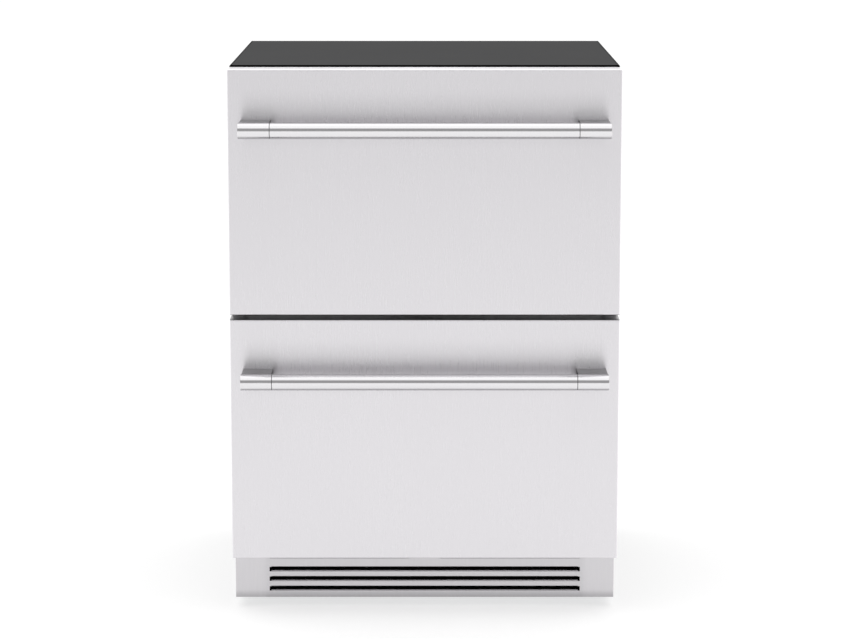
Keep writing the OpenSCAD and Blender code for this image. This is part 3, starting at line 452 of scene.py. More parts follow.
@dataclass(frozen=True)
class CoatedSteel:
    """Steel sheet with a textured powder coat."""

    colour: Colour
    roughness: float = 0.62
    texture: float = 900.0
    specular: float = 0.3

    def paint(self, name: str) -> bpy.types.Material:
        """Builds the material: a fine pebbled coat with clouds, and the light and shade painted on some
        pieces.

        Args:
            name: The material's name.

        Returns:
            The material.
        """
        p = Paint(name, Specular_IOR_Level=self.specular)
        pebbles = p.noise(self.texture, 2.0, 0.6)
        clouds = p.noise(5.0, 3.0, 0.6)
        tone = self.worn(p, pebbles * 0.22 + clouds * 0.10)
        rough = self.roughness + pebbles * 0.12 + clouds * 0.06
        return p.finish(p.tinted(self.colour, tone), rough, pebbles, 0.00012, 0.5)

    def worn(self, p: Paint, tone: Value) -> Value:
        """Adds the light and shade painted on one piece to its tone, which is none on plain sheet."""
        return tone


@dataclass(frozen=True, kw_only=True)
class TopSteel(CoatedSteel):
    """Coated top panel: a painted highlight behind its front edge, painted shade along its side and back
    edges, and painted shade that turns its front face black.
    """

    low: Vector
    high: Vector
    rim: Pair = (-6 * MM, -1 * MM)
    pale_y: float = 9 * MM
    pale_w: float = 5 * MM
    face: Pair = (-3.2 * MM, -2.0 * MM)

    def worn(self, p: Paint, tone: Value) -> Value:
        """Paints light and shade on the panel's edges and front face.

        Args:
            p: The material under construction.
            tone: The tone of the plain sheet.

        Returns:
            The tone of this piece.
        """
        x, y, _ = p.parts(p.place)
        front = self.low.y - y
        rim_shade = (abs(x) - self.high.x).most(y - self.high.y).rise(*self.rim)
        # Painted highlight behind the front edge, and painted shade along the side and back edges.
        tone = tone + front.ridge(-self.pale_y, self.pale_w) * 0.22 - rim_shade * 0.45
        # Painted shade that turns the front face, behind the door's top, almost black.
        return tone - front.rise(*self.face) * 0.93


@dataclass(frozen=True)
class ZincSteel:
    """Galvanised sheet with its crystal spangle."""

    colour: Colour
    spangle: float = 160.0

    def paint(self, name: str) -> bpy.types.Material:
        """Builds the material: flat crystals of several greys with white bloom.

        Args:
            name: The material's name.

        Returns:
            The material.
        """
        p = Paint(name, Metallic=0.85)
        crystals = p.cells(self.spangle, "Color") - 0.5
        bloom = p.noise(14.0, 4.0, 0.6)
        fine = p.noise(700.0, 2.0)
        colour = p.tinted(self.colour, crystals * 0.22 + bloom * 0.14)
        rough = 0.42 + crystals * 0.14 + bloom * 0.12
        return p.finish(colour, rough, self.pressed(p, fine * 0.05), 0.0008, 0.7)

    def pressed(self, p: Paint, relief: Value) -> Value:
        """Adds what is pressed into one piece to its relief, which is nothing on plain sheet."""
        return relief


@dataclass(frozen=True, kw_only=True)
class SwagedSteel(ZincSteel):
    """Galvanised panel with stiffening swages pressed in round its edges."""

    low: Vector
    high: Vector
    insets: Pair = (50 * MM, 160 * MM)
    swage_r: float = 5 * MM

    def pressed(self, p: Paint, relief: Value) -> Value:
        """Presses one rectangle at each distance from the panel's edges.

        Args:
            p: The material under construction.
            relief: The relief of the plain sheet.

        Returns:
            The relief of this piece.
        """
        x, _, z = p.parts(p.place)
        middle = (self.low.z + self.high.z) / 2
        rim = (abs(x) - self.high.x).most(abs(z - middle) - (self.high.z - middle))
        for inset in self.insets:
            relief = relief + rim.ridge(-inset, self.swage_r)
        return relief


@dataclass(frozen=True)
class Moulded:
    """Moulded plastic or rubber with a grained surface."""

    colour: Colour
    roughness: float = 0.45
    grain: float = 1400.0
    depth: float = 0.00006
    specular: float = 0.5
    dust: float = 0.0

    def paint(self, name: str) -> bpy.types.Material:
        """Builds the material: a leathery mould grain, faint flow marks and dust.

        Args:
            name: The material's name.

        Returns:
            The material.
        """
        p = Paint(name, Specular_IOR_Level=self.specular)
        grain = p.noise(self.grain, 2.0, 0.55)
        flow = p.noise((9.0, 9.0, 3.0), 3.0, 0.6, 0.6)
        colour = p.tinted(self.colour, grain * 0.08 + flow * 0.06)
        if self.dust:
            dust = (p.noise(38.0, 4.0, 0.7) + 0.5).rise(0.5, 0.85) * self.dust
            colour = p.blend(dust, colour, (0.32, 0.30, 0.27))
        return p.finish(colour, self.roughness + grain * 0.10 + flow * 0.08, grain, self.depth, 0.5)


@dataclass(frozen=True)
class Ribbed:
    """Clear or white plastic with fine prism ribs, as on a light's lens."""

    colour: Colour
    pitch: float = 3 * MM

    def paint(self, name: str) -> bpy.types.Material:
        """Builds the material: ribs across the lens and a milky body.

        Args:
            name: The material's name.

        Returns:
            The material.
        """
        p = Paint(name, IOR=1.49, Coat_Roughness=0.2)
        ribs = (p.parts(p.place)[0] * (math.tau / self.pitch)).wave()
        milk = p.noise(60.0, 3.0)
        colour = p.tinted(self.colour, milk * 0.06 + ribs * 0.02)
        return p.finish(colour, 0.22 + milk * 0.08, ribs, 0.0002, 0.6)


@dataclass(frozen=True)
class DrawnMetal:
    """Drawn copper tube or thin aluminium fins, with oxide stains."""

    colour: Colour
    stain: Colour
    roughness: float = 0.3
    share: float = 0.5

    def paint(self, name: str) -> bpy.types.Material:
        """Builds the material: bright metal, darker where it has tarnished.

        Args:
            name: The material's name.

        Returns:
            The material.
        """
        p = Paint(name, Metallic=1.0)
        stains = (p.noise(26.0, 5.0, 0.65) + 0.5).rise(0.42, 0.72)
        draw = p.noise((40.0, 1600.0, 1600.0), 2.0)
        colour = p.tinted(p.blend(stains * self.share, self.colour, self.stain), draw * 0.10)
        return p.finish(colour, self.roughness + stains * 0.22 + draw * 0.10, draw, 0.00003, 0.4)


@dataclass(frozen=True)
class GlossEnamel:
    """Thick black enamel on a pressed shell."""

    colour: Colour

    def paint(self, name: str) -> bpy.types.Material:
        """Builds the material: orange peel under patches of dust.

        Args:
            name: The material's name.

        Returns:
            The material.
        """
        p = Paint(name, Coat_Weight=0.6, Coat_Roughness=0.12)
        peel = p.noise(260.0, 2.0)
        dust = (p.noise(30.0, 4.0, 0.7) + 0.5).rise(0.48, 0.8) * 0.18
        colour = p.blend(dust, p.tinted(self.colour, peel * 0.1), (0.35, 0.33, 0.30))
        return p.finish(colour, 0.28 + dust * 1.4 + peel * 0.06, peel, 0.0002, 0.5)


@dataclass(frozen=True)
class RigidFoam:
    """Poured polyurethane foam."""

    colour: Colour

    def paint(self, name: str) -> bpy.types.Material:
        """Builds the material: open cells and darker skinned patches.

        Args:
            name: The material's name.

        Returns:
            The material.
        """
        p = Paint(name, Specular_IOR_Level=0.15)
        bubbles = p.cells(900.0)
        tone = p.noise(18.0, 4.0, 0.6) * 0.25 + (bubbles - 0.5) * 0.18
        return p.finish(p.tinted(self.colour, tone), 0.92, bubbles, 0.0006, 0.7)


@dataclass(frozen=True)
class Threaded:
    """Levelling foot: a dark moulded pad, and a plated stem with a fine screw thread along Z."""

    colour: Colour
    plating: Colour = (0.30, 0.30, 0.31)
    pitch: float = 1.25 * MM
    pad_top: Pair = (14.2 * MM, 14.6 * MM)

    def paint(self, name: str) -> bpy.types.Material:
        """Builds the material: thread turns above the pad, and a moulded grain below.

        Args:
            name: The material's name.

        Returns:
            The material.
        """
        p = Paint(name, Specular_IOR_Level=0.5)
        z = p.parts(p.place)[2]
        stem = z.rise(*self.pad_top)
        turns = (z * (math.tau / self.pitch)).wave() * stem
        grain = p.noise(1100.0, 2.0)
        p.feed("Metallic", stem * 0.9)
        # The stem's colour goes lighter and darker with each thread turn: painted shade of the thread.
        colour = p.tinted(p.blend(stem, self.colour, self.plating), grain * 0.12 + turns * 0.15)
        return p.finish(colour, 0.5 - stem * 0.15 + grain * 0.1, turns + grain * 0.3, 0.0002, 0.8)


Finish = Union[BrushedSteel, CoatedSteel, ZincSteel, Moulded, Ribbed, DrawnMetal, GlossEnamel, RigidFoam,
               Threaded]

FINISHES: dict[str, Finish] = {
    "stainless": BrushedSteel((0.782, 0.766, 0.790), 0.29, streak=0.05, scratch=0.000004, turn=0.25),
    "stainless_handle": BrushedSteel((0.755, 0.745, 0.760), 0.17, Grain.LENGTHWISE, 0.3, 0.03),
    # The kick's steel is set darker than the doors': painted shade, as the kick sits low under the drawers.
    "stainless_kick": BrushedSteel((0.668, 0.654, 0.673), 0.36, spread=0.4),
    "bin_steel": BrushedSteel((0.64, 0.64, 0.65), 0.36, Grain.DEEP, 0.4, 0.06),
    "slide_steel": ZincSteel((0.60, 0.60, 0.62), 420.0),
    "zinc_steel": ZincSteel((0.50, 0.51, 0.53)),
    "black_steel": CoatedSteel((0.062, 0.062, 0.063)),
    "black_enamel": GlossEnamel((0.015, 0.015, 0.016)),
    "copper": DrawnMetal((0.86, 0.45, 0.29), (0.24, 0.11, 0.07), 0.28, 0.6),
    "aluminium": DrawnMetal((0.82, 0.83, 0.84), (0.50, 0.50, 0.50), 0.34, 0.4),
    "liner_plastic": Moulded((0.60, 0.61, 0.62), 0.42, 900.0),
    "light_plastic": Moulded((0.74, 0.75, 0.76), 0.36, 1100.0),
    "dark_plastic": Moulded((0.035, 0.035, 0.037), 0.48, 1300.0, 0.00008, dust=0.2),
    "gasket_rubber": Moulded((0.060, 0.060, 0.064), 0.62, 700.0, 0.00010, 0.3),
    "rubber": Moulded((0.022, 0.022, 0.023), 0.70, 600.0, 0.00012, 0.25, 0.3),
    "foam": RigidFoam((0.70, 0.60, 0.36)),
    "lens": Ribbed((0.86, 0.87, 0.88)),
}


class Palette:
    """The materials of all slots, made once each and given to the CAD pieces."""

    def __init__(self) -> None:
        """Builds the slots' materials, and those of the pieces that have their own."""
        self.made = {slot: finish.paint(slot + "_finish") for slot, finish in FINISHES.items()}
        foot = Threaded((0.030, 0.030, 0.032)).paint("foot_finish")
        self.own = {f"foot_{end}_{side}": foot for end in ("front", "rear") for side in Side}
        # Per drawer: the door's top face gets a painted highlight (upper) or painted shade (lower, in the gap
        # between the drawers), and its underside painted shade.
        for level, top, underside in ((Level.UPPER, 0.25, 0.85), (Level.LOWER, -0.70, 0.3)):
            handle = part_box(f"{level}_handle_ends")[1]
            self._fit(f"{level}_door_skin", DoorSteel, FINISHES["stainless"],
                      handle=handle, top=top, underside=underside)
        self._fit("toe_kick", KickSteel, FINISHES["stainless_kick"])
        self._fit("top_panel", TopSteel, CoatedSteel((0.077, 0.077, 0.078), specular=0.0))
        self._fit("rear_panel", SwagedSteel, FINISHES["zinc_steel"])

    def _fit(self, node: str, kind: type[Finish], base: Finish, **places: Any) -> None:
        """Paints a CAD piece with its own kind of a base finish, which knows the piece's corners."""
        low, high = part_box(node)
        self.own[node] = kind(**vars(base), low=low, high=high, **places).paint(f"{node}_finish")

    def dress_frame(self) -> None:
        """Gives each CAD piece its own material, or that of its slot."""
        for part in frame["record"]["subparts"]:
            node = part["node"]
            material = self.own.get(node, self.made[part["material_slot"]])
            for place in frame["nodes"][node].material_slots:
                place.material = material
            LOG.info("painted %s with %s", node, material.name)


# ---- Meshes ----


def linked(name: str, data: Any) -> bpy.types.Object:
    """Makes an object of a mesh, light or camera and links it to the scene.

    Args:
        name: The object's name.
        data: What it shows.

    Returns:
        The object.
    """
    made = bpy.data.objects.new(name, data)
    bpy.context.scene.collection.objects.link(made)
    return made


def evaluated(piece: bpy.types.Object) -> bpy.types.Mesh:
    """Turns what a piece's modifiers make into a plain mesh, and removes them.

    Args:
        piece: The piece with live modifiers.

    Returns:
        The plain mesh.
    """
    graph = bpy.context.evaluated_depsgraph_get()
    plain = bpy.data.meshes.new_from_object(piece.evaluated_get(graph))
    piece.modifiers.clear()
    return plain


def arc(radius: float, turn: float, steps: int) -> list[Pair]:
    """Plans the points of an arc round the origin, from the first axis on."""
    angles = (turn * i / steps for i in range(steps + 1))
    return [(radius * math.cos(angle), radius * math.sin(angle)) for angle in angles]


class Mould:
    """A mesh under construction in the object's frame, whose edges stay sharp above an angle in degrees."""

    SHARP = 35.0

    def __init__(self) -> None:
        """Starts an empty mesh."""
        self.bm = bmesh.new()

    def lathe(self, outline: Sequence[Pair], at: Matrix, segments: int) -> None:
        """Turns an outline round the Z axis.

        Args:
            outline: Radii and heights, as an open line from axis to axis or as a closed one.
            at: Where the turned form goes.
            segments: Steps round the axis.
        """
        rings = []
        for radius, height in outline:
            circle = arc(radius, math.tau, segments)[:segments if radius else 1]
            rings.append([self.bm.verts.new(at @ Vector((x, y, height))) for x, y in circle])
        for low, high in zip(rings, rings[1:]):
            for i in range(segments):
                j = (i + 1) % segments
                square = (low[i % len(low)], low[j % len(low)], high[j % len(high)], high[i % len(high)])
                face = tuple(dict.fromkeys(square))
                if len(face) > 2:
                    self.bm.faces.new(face)

    def band(self, radii: Pair, heights: Pair, at: Matrix, segments: int) -> None:
        """Turns a flat ring with a square section.

        Args:
            radii: Its inner and outer radius.
            heights: Where it starts and ends along the axis.
            at: Where it goes.
            segments: Steps round the axis.
        """
        (inner, outer), (start, end) = radii, heights
        self.lathe([(inner, start), (outer, start), (outer, end), (inner, end), (inner, start)], at, segments)

    def block(self, low: Triple, high: Triple, bevel: float = 0.0, steps: int = 2) -> None:
        """Adds a block with rounded edges.

        Args:
            low: Its lowest corner.
            high: Its highest corner.
            bevel: Radius of the edges.
            steps: Faces round each edge.
        """
        made = bmesh.ops.create_cube(self.bm, size=1.0)["verts"]
        size = Vector(high) - Vector(low)
        place = Matrix.Translation(Vector(low) + size / 2) @ Matrix.Diagonal((*size, 1.0))
        bmesh.ops.transform(self.bm, verts=made, matrix=place)
        if bevel:
            edges = list({edge for vert in made for edge in vert.link_edges})
            bmesh.ops.bevel(self.bm, geom=edges, offset=bevel, segments=steps, profile=0.5, affect="EDGES")

    def piece(self, name: str, material: bpy.types.Material) -> bpy.types.Object:
        """Ends the mesh as a named object.

        Args:
            name: The object's name.
            material: Its material.

        Returns:
            The object.
        """
        bmesh.ops.remove_doubles(self.bm, verts=self.bm.verts, dist=1e-7)
        bmesh.ops.recalc_face_normals(self.bm, faces=self.bm.faces)
        mesh = bpy.data.meshes.new(name)
        self.bm.to_mesh(mesh)
        self.bm.free()
        mesh.materials.append(material)
        mesh.shade_smooth()
        mesh.set_sharp_from_angle(angle=math.radians(self.SHARP))
        return linked(name, mesh)


def settle(piece: bpy.types.Object, body: str, slot: str, *nodes: str) -> None:
    """Hangs a piece on its body and logs it.

    Args:
        piece: The piece.
        body: The body that it rides on.
        slot: The record's material slot that it belongs to; not used.
        nodes: CAD pieces that it stands for.
    """
    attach(piece, body)
    if nodes:
        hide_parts(*nodes)
    LOG.info("%s rides on %s: %d faces", piece.name, body, len(piece.data.polygons))


# ---- Repeated pieces, set out by Geometry Nodes ----


@dataclass(frozen=True)
class Spot:
    """Where one copy sits, and the way its head faces."""

    at: Triple
    facing: Triple = (0, 0, 1)


def grid(xs: Sequence[float], y: float, zs: Sequence[float], way: int) -> list[Spot]:
    """Plans spots where places along X and Z cross, which face along Y one way or the other."""
    return [Spot((x, y, z), (0, way, 0)) for x in xs for z in zs]


def centred(count: int, pitch: float) -> list[float]:
    """Spaces some places evenly round 0."""
    return [(i - (count - 1) / 2) * pitch for i in range(count)]


class CopyField:
    """A Geometry Nodes group that sets one form on each of a mesh's points."""

    INPUTS = {"Geometry": "Geometry", "Form": "Object", "Turn Spread": "Float", "Seed": "Int",
              "Finish": "Material"}

    def __init__(self) -> None:
        """Builds the group with its named inputs."""
        self.tree = bpy.data.node_groups.new("copies_on_points", "GeometryNodeTree")
        face = self.tree.interface
        for name, kind in self.INPUTS.items():
            face.new_socket(name, in_out="INPUT", socket_type=f"NodeSocket{kind}")
        face.new_socket("Geometry", in_out="OUTPUT", socket_type="NodeSocketGeometry")
        node = Graph(self.tree).node
        given = node("NodeGroupInput").outputs
        form = node("GeometryNodeObjectInfo", {"transform_space": "ORIGINAL"}, {"Object": given["Form"]})
        facing = node("GeometryNodeInputNamedAttribute", {"data_type": "FLOAT_VECTOR"}, {"Name": "facing"})
        align = node("FunctionNodeAlignRotationToVector", {"axis": "Z"}, {"Vector": facing.outputs[0]})
        twist = node("FunctionNodeRandomValue", {"data_type": "FLOAT"},
                     {2: 0.0, 3: given["Turn Spread"], "Seed": given["Seed"]})
        spin = node("ShaderNodeCombineXYZ", values={"Z": twist.outputs[1]})
        turned = node("FunctionNodeRotateRotation", {"rotation_space": "LOCAL"},
                      {"Rotation": align.outputs[0], "Rotate By": spin.outputs[0]})
        copies = node("GeometryNodeInstanceOnPoints", values={
            "Points": given["Geometry"], "Instance": form.outputs["Geometry"], "Rotation": turned.outputs[0]})
        real = node("GeometryNodeRealizeInstances", values={"Geometry": copies.outputs[0]})
        painted = node("GeometryNodeSetMaterial", values={
            "Geometry": real.outputs[0], "Material": given["Finish"]})
        node("NodeGroupOutput", values={"Geometry": painted.outputs[0]})

    def set_out(self, name: str, form: bpy.types.Object, spots: Sequence[Spot], seed: int,
                spread: float) -> bpy.types.Object:
        """Sets copies of a form on the spots and turns them into one plain mesh.

        Args:
            name: The new object's name.
            form: The form, with its foot at the origin and its head along +Z.
            spots: Where the copies go.
            seed: Seed of the turning.
            spread: The most that a copy is turned about its own axis, in radians.

        Returns:
            The plain mesh object, in the form's material.
        """
        mesh = bpy.data.meshes.new(name + "_spots")
        mesh.from_pydata([spot.at for spot in spots], [], [])
        facing = mesh.attributes.new("facing", "FLOAT_VECTOR", "POINT")
        facing.data.foreach_set("vector", [part for spot in spots for part in spot.facing])
        carrier = linked(name + "_spots", mesh)
        live = carrier.modifiers.new("copies", "NODES")
        live.node_group = self.tree
        given = {"Form": form, "Turn Spread": spread, "Seed": seed, "Finish": form.data.materials[0]}
        for item in self.tree.interface.items_tree:
            if item.name in given:
                live[item.identifier] = given[item.name]
        carrier.update_tag()
        bpy.context.view_layer.update()
        plain = evaluated(carrier)
        plain.name = name
        bpy.data.objects.remove(carrier)
        return linked(name, plain)


@dataclass
class Assembly:
    """What every sub-assembly is built with: the materials, and the group that sets out copies."""

    palette: Palette
    copies: CopyField

    def build(self) -> None:
        """Builds the pieces, which each sub-assembly does in its own way."""
        raise NotImplementedError

    def repeat(self, name: str, form: bpy.types.Object, spots: Sequence[Spot], body: str, slot: str,
               seed: int, spread: float = 0.0) -> None:
        """Sets copies of a form on the spots and hangs them on a body.

        Args:
            name: The copies' name.
            form: The form, which is removed.
            spots: Where the copies go.
            body: The body that they ride on.
            slot: The record's material slot that they belong to; passed on to settle, which does not use it.
            seed: Seed of the turning.
            spread: The most that a copy is turned about its own axis, in radians.
        """
        settle(self.copies.set_out(name, form, spots, seed, spread), body, slot)
        bpy.data.objects.remove(form)


@dataclass(frozen=True)
class Screw:
    """Pan-head screw with a cross recess."""

    head_r: float = 3.6 * MM
    head_h: float = 2.0 * MM
    sunk: float = 0.3 * MM
    cross_l: float = 3.4 * MM
    cross_w: float = 0.9 * MM

    def form(self, material: bpy.types.Material) -> bpy.types.Object:
        """Builds the head, with its recess as a sunk cross.

        Args:
            material: The head's material.

        Returns:
            The form for the copies.
        """
        r, h = self.head_r, self.head_h
        head = Mould()
        head.lathe([(0, -self.sunk), (r, -self.sunk), (r, 0.35 * h), (0.93 * r, 0.62 * h),
                    (0.74 * r, 0.86 * h), (0.5 * r, h), (0, h)], Matrix.Identity(4), segments=24)
        made = head.piece("screw_form", material)
        cross = Mould()
        for a, b in ((self.cross_l, self.cross_w), (self.cross_w, self.cross_l)):
            cross.block((-a / 2, -b / 2, 0.45 * h), (a / 2, b / 2, 1.5 * h))
        tool = cross.piece("screw_cross", material)
        cut = made.modifiers.new("cross", "BOOLEAN")
        cut.operation = "DIFFERENCE"
        cut.solver = "EXACT"
        cut.object = tool
        cut.use_self = True
        made.data = evaluated(made)
        bpy.data.objects.remove(tool)
        return made


@dataclass(frozen=True)
class Rivet:
    """Domed rivet head."""

    r: float = 2.6 * MM
    h: float = 1.1 * MM
    sunk: float = 0.2 * MM

    def form(self, material: bpy.types.Material) -> bpy.types.Object:
        """Builds the head on a thin collar.

        Args:
            material: The head's material.

        Returns:
            The form for the copies.
        """
        head, collar = Mould(), 1.15 * self.r
        dome = [(self.r * x, self.h * (0.25 + 0.75 * y)) for x, y in arc(1.0, math.pi / 2, 5)[:-1]]
        head.lathe([(0, -self.sunk), (collar, -self.sunk), (collar, 0.2 * self.h), *dome, (0, self.h)],
                   Matrix.Identity(4), segments=20)
        return head.piece("rivet_form", material)


@dataclass
class Fasteners(Assembly):
    """All screws and rivets, one mesh for each body and kind."""

    screw: Screw = Screw()
    rivet: Rivet = Rivet()
    cover_side: float = 12 * MM
    cover_low: float = 35 * MM
    cover_high: float = 10 * MM
    frame_side: float = 20 * MM
    frame_up: tuple[float, ...] = (60 * MM, 200 * MM)
    frame_down: tuple[float, ...] = (380 * MM, 200 * MM, 50 * MM)
    bracket_inset: float = 9 * MM
    bracket_pitch: float = 14 * MM
    rail_wall: float = 1.4 * MM
    rivet_shares: Triple = (0.1, 0.5, 0.9)

    def cover_spots(self) -> list[Spot]:
        """Places the screws of the rear vent cover.

        Returns:
            The spots, which face the back.
        """
        lo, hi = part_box("rear_vent_cover")
        return grid((lo.x + self.cover_side, 0.0, hi.x - self.cover_side), hi.y,
                    (lo.z + self.cover_low, hi.z - self.cover_high), 1)

    def frame_spots(self) -> list[Spot]:
        """Places the screws of the face frame beside its windows.

        Returns:
            The spots, which face the front.
        """
        lo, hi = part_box("face_frame")
        side = hi.x - self.frame_side
        heights = [lo.z + up for up in self.frame_up] + [hi.z - down for down in self.frame_down]
        return grid((-side, side), lo.y, heights, -1)

    def bracket_spots(self, level: Level) -> list[Spot]:
        """Places the screws through the slides' brackets into a drawer's front.

        Args:
            level: The drawer.

        Returns:
            The spots, which face the cold box.
        """
        spots = []
        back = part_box("face_frame")[0].y
        for side in Side:
            lo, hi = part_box(f"{level}_slide_inner_{side}")
            inner = min(abs(lo.x), abs(hi.x)) + self.bracket_inset
            spots += grid((side.sign * inner, side.sign * (inner + self.bracket_pitch)), back,
                          (lo.z + self.bracket_inset, hi.z - self.bracket_inset), 1)
        return spots

    def rail_spots(self, level: Level) -> list[Spot]:
        """Places the rivets along the inner faces of a drawer's outer slide members.

        Args:
            level: The drawer.

        Returns:
            The spots, which face the bin.
        """
        spots = []
        for side in Side:
            lo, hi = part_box(f"{level}_slide_outer_{side}")
            x = max(abs(lo.x), abs(hi.x)) - self.rail_wall
            z = (lo.z + hi.z) / 2
            start = max(lo.y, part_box(f"{level}_slide_mid_{side}")[0].y)
            spots += [Spot((side.sign * x, start + (hi.y - start) * share, z), (-side.sign, 0, 0))
                      for share in self.rivet_shares]
        return spots

    def build(self) -> None:
        """Sets out every fastener on its body."""
        rows = [("rear_screws", self.screw, self.cover_spots(), "cabinet", 11),
                ("face_frame_screws", self.screw, self.frame_spots(), "cabinet", 12)]
        rows += [(f"{level}_bracket_screws", self.screw, self.bracket_spots(level), f"{level}_drawer", seed)
                 for seed, level in enumerate(Level, 21)]
        rows += [(f"{level}_slide_rivets", self.rivet, self.rail_spots(level), "cabinet", seed)
                 for seed, level in enumerate(Level, 31)]
        steel = self.palette.made["zinc_steel"]
        for name, kind, spots, body, seed in rows:
            self.repeat(name, kind.form(steel), spots, body, "zinc_steel", seed, math.tau)


# ---- Handles ----


@dataclass
class Handle(Assembly):
    """One bar handle: its tube, its two end pieces and their posts, with rounded edges."""

    level: Level
    wall: float = 1.5 * MM
    tube_round: float = 0.25 * MM
    seam: float = 0.8 * MM
    seam_inset: float = 0.5 * MM
    plug_l: float = 18 * MM
    plug_inset: float = 1.6 * MM
    lip: float = 0.2 * MM
    cap_round: float = 0.9 * MM
    post_w: float = 46.6 * MM
    post_inset: float = 1.4 * MM
    post_flat: float = 0.3 * MM
    post_round: float = 0.5 * MM
    segments: int = 96

    def build(self) -> None:
        """Builds the tube and the end pieces in the CAD pieces' places."""
        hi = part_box(f"{self.level}_handle_ends")[1]
        tube_lo, tube_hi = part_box(f"{self.level}_handle_tube")
        r, end = (tube_hi.z - tube_lo.z) / 2, tube_hi.x
        middle = Vector((0, tube_lo.y + r, tube_lo.z + r))
        polished = HandleSteel(**vars(FINISHES["stainless_handle"]), low_z=tube_lo.z)
        steel = polished.paint(f"{self.level}_handle_finish")
        tube, e, inner = Mould(), self.tube_round, r - self.wall
        tube.lathe([(inner, -end), (r - e, -end), (r, -end + e), (r, end - e), (r - e, end), (inner, end),
                    (inner, -end)], self._along(middle, 1), self.segments)
        self._hang(tube, "bar", steel, "tube")
        post_end = hi.x - self.post_inset
        post_start, half = post_end - self.post_w, r - self.post_flat
        dull = PostSteel((0.44, 0.435, 0.445), 0.40, Grain.DEEP, 0.2, inner_x=post_start)
        post_steel = dull.paint(f"{self.level}_post_finish")
        for side in Side:
            at = self._along(middle, side.sign)
            self._hang(self._cap(at, r, hi.x, end), f"end_{side}", steel, "ends")
            # A dark rubber ring fills the seam: partly a real joint, partly a dark piece that stands in for
            # the shade in the gap.
            ring = Mould()
            ring.band((r - self.plug_inset, r - self.seam_inset), (end, end + self.seam), at, self.segments)
            self._hang(ring, f"seam_{side}", self.palette.made["rubber"], "ends")
            post = Mould()
            x0, x1 = sorted((side.sign * post_end, side.sign * post_start))
            post.block((x0, middle.y, middle.z - half), (x1, hi.y, middle.z + half), self.post_round, 3)
            self._hang(post, f"post_{side}", post_steel, "ends")

    def _along(self, middle: Vector, sign: int) -> Matrix:
        """Places a turned form on the handle's axis, towards one side."""
        return Matrix.Translation(middle) @ Matrix.Rotation(sign * math.pi / 2, 4, "Y")

    def _hang(self, mould: Mould, part: str, material: bpy.types.Material, node: str) -> None:
        """Ends one part of the handle and hangs it on the drawer, in place of a CAD piece."""
        piece = mould.piece(f"{self.level}_handle_{part}", material)
        settle(piece, f"{self.level}_drawer", "stainless_handle", f"{self.level}_handle_{node}")

    def _cap(self, at: Matrix, r: float, end: float, seam_x: float) -> Mould:
        """Turns one end cap with its plug.

        Args:
            at: Where the cap's axis starts, and its direction.
            r: The tube's radius.
            end: Distance from the middle to the cap's outer end.
            seam_x: Distance from the middle to the seam.

        Returns:
            The cap's mesh.
        """
        start, e, plug = seam_x + self.seam, self.cap_round, r - self.plug_inset
        rounded = [(r - e + x, end - e + y) for x, y in arc(e, math.pi / 2, 6)]
        cap = Mould()
        cap.lathe([(0, seam_x - self.plug_l), (plug, seam_x - self.plug_l), (plug, start),
                   (r - self.lip, start), (r, start + self.lip), *rounded, (0, end)], at, self.segments)
        return cap


# ---- Drawer fittings ----


@dataclass
class BinMat(Assembly):
    """Ribbed rubber mat on the floor of a bin."""

    level: Level
    grey: Moulded = Moulded((0.15, 0.15, 0.155), 0.6, 700.0, 0.00010, 0.3, 0.12)
    bin_rim: float = 8 * MM
    bin_floor: float = 1.5 * MM
    margin: float = 20 * MM
    thickness: float = 1.2 * MM
    edge_round: float = 0.4 * MM
    rib_h: float = 1.6 * MM
    rib_w: float = 2.6 * MM
    rib_inset: float = 3 * MM
    rib_round: float = 0.5 * MM
    pitch: float = 9 * MM
    first_rib: float = 0.75

    def build(self) -> None:
        """Builds the mat, a thin sheet with ribs across it, and hangs both on the drawer."""
        lo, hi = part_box(f"{self.level}_bin")
        floor = lo.z + self.bin_floor
        x = hi.x - self.bin_rim - self.margin
        y0, y1 = lo.y + self.margin, hi.y - self.margin
        grey = self.grey.paint(f"{self.level}_mat_finish")
        sheet = Mould()
        sheet.block((-x, y0, floor), (x, y1, floor + self.thickness), self.edge_round)
        settle(sheet.piece(f"{self.level}_bin_mat", grey), f"{self.level}_drawer", "rubber")
        rib, half, sunk = Mould(), self.rib_w / 2, self.thickness / 2
        end = x - self.rib_inset
        rib.block((-end, -half, 0), (end, half, sunk + self.rib_h), self.rib_round)
        spots = [Spot((0, y0 + (i + self.first_rib) * self.pitch + half, floor + sunk))
                 for i in range(int((y1 - y0) / self.pitch - 1))]
        self.repeat(f"{self.level}_bin_mat_ribs", rib.piece("rib_form", grey), spots,
                    f"{self.level}_drawer", "rubber", 51)


# ---- Fan guard ----


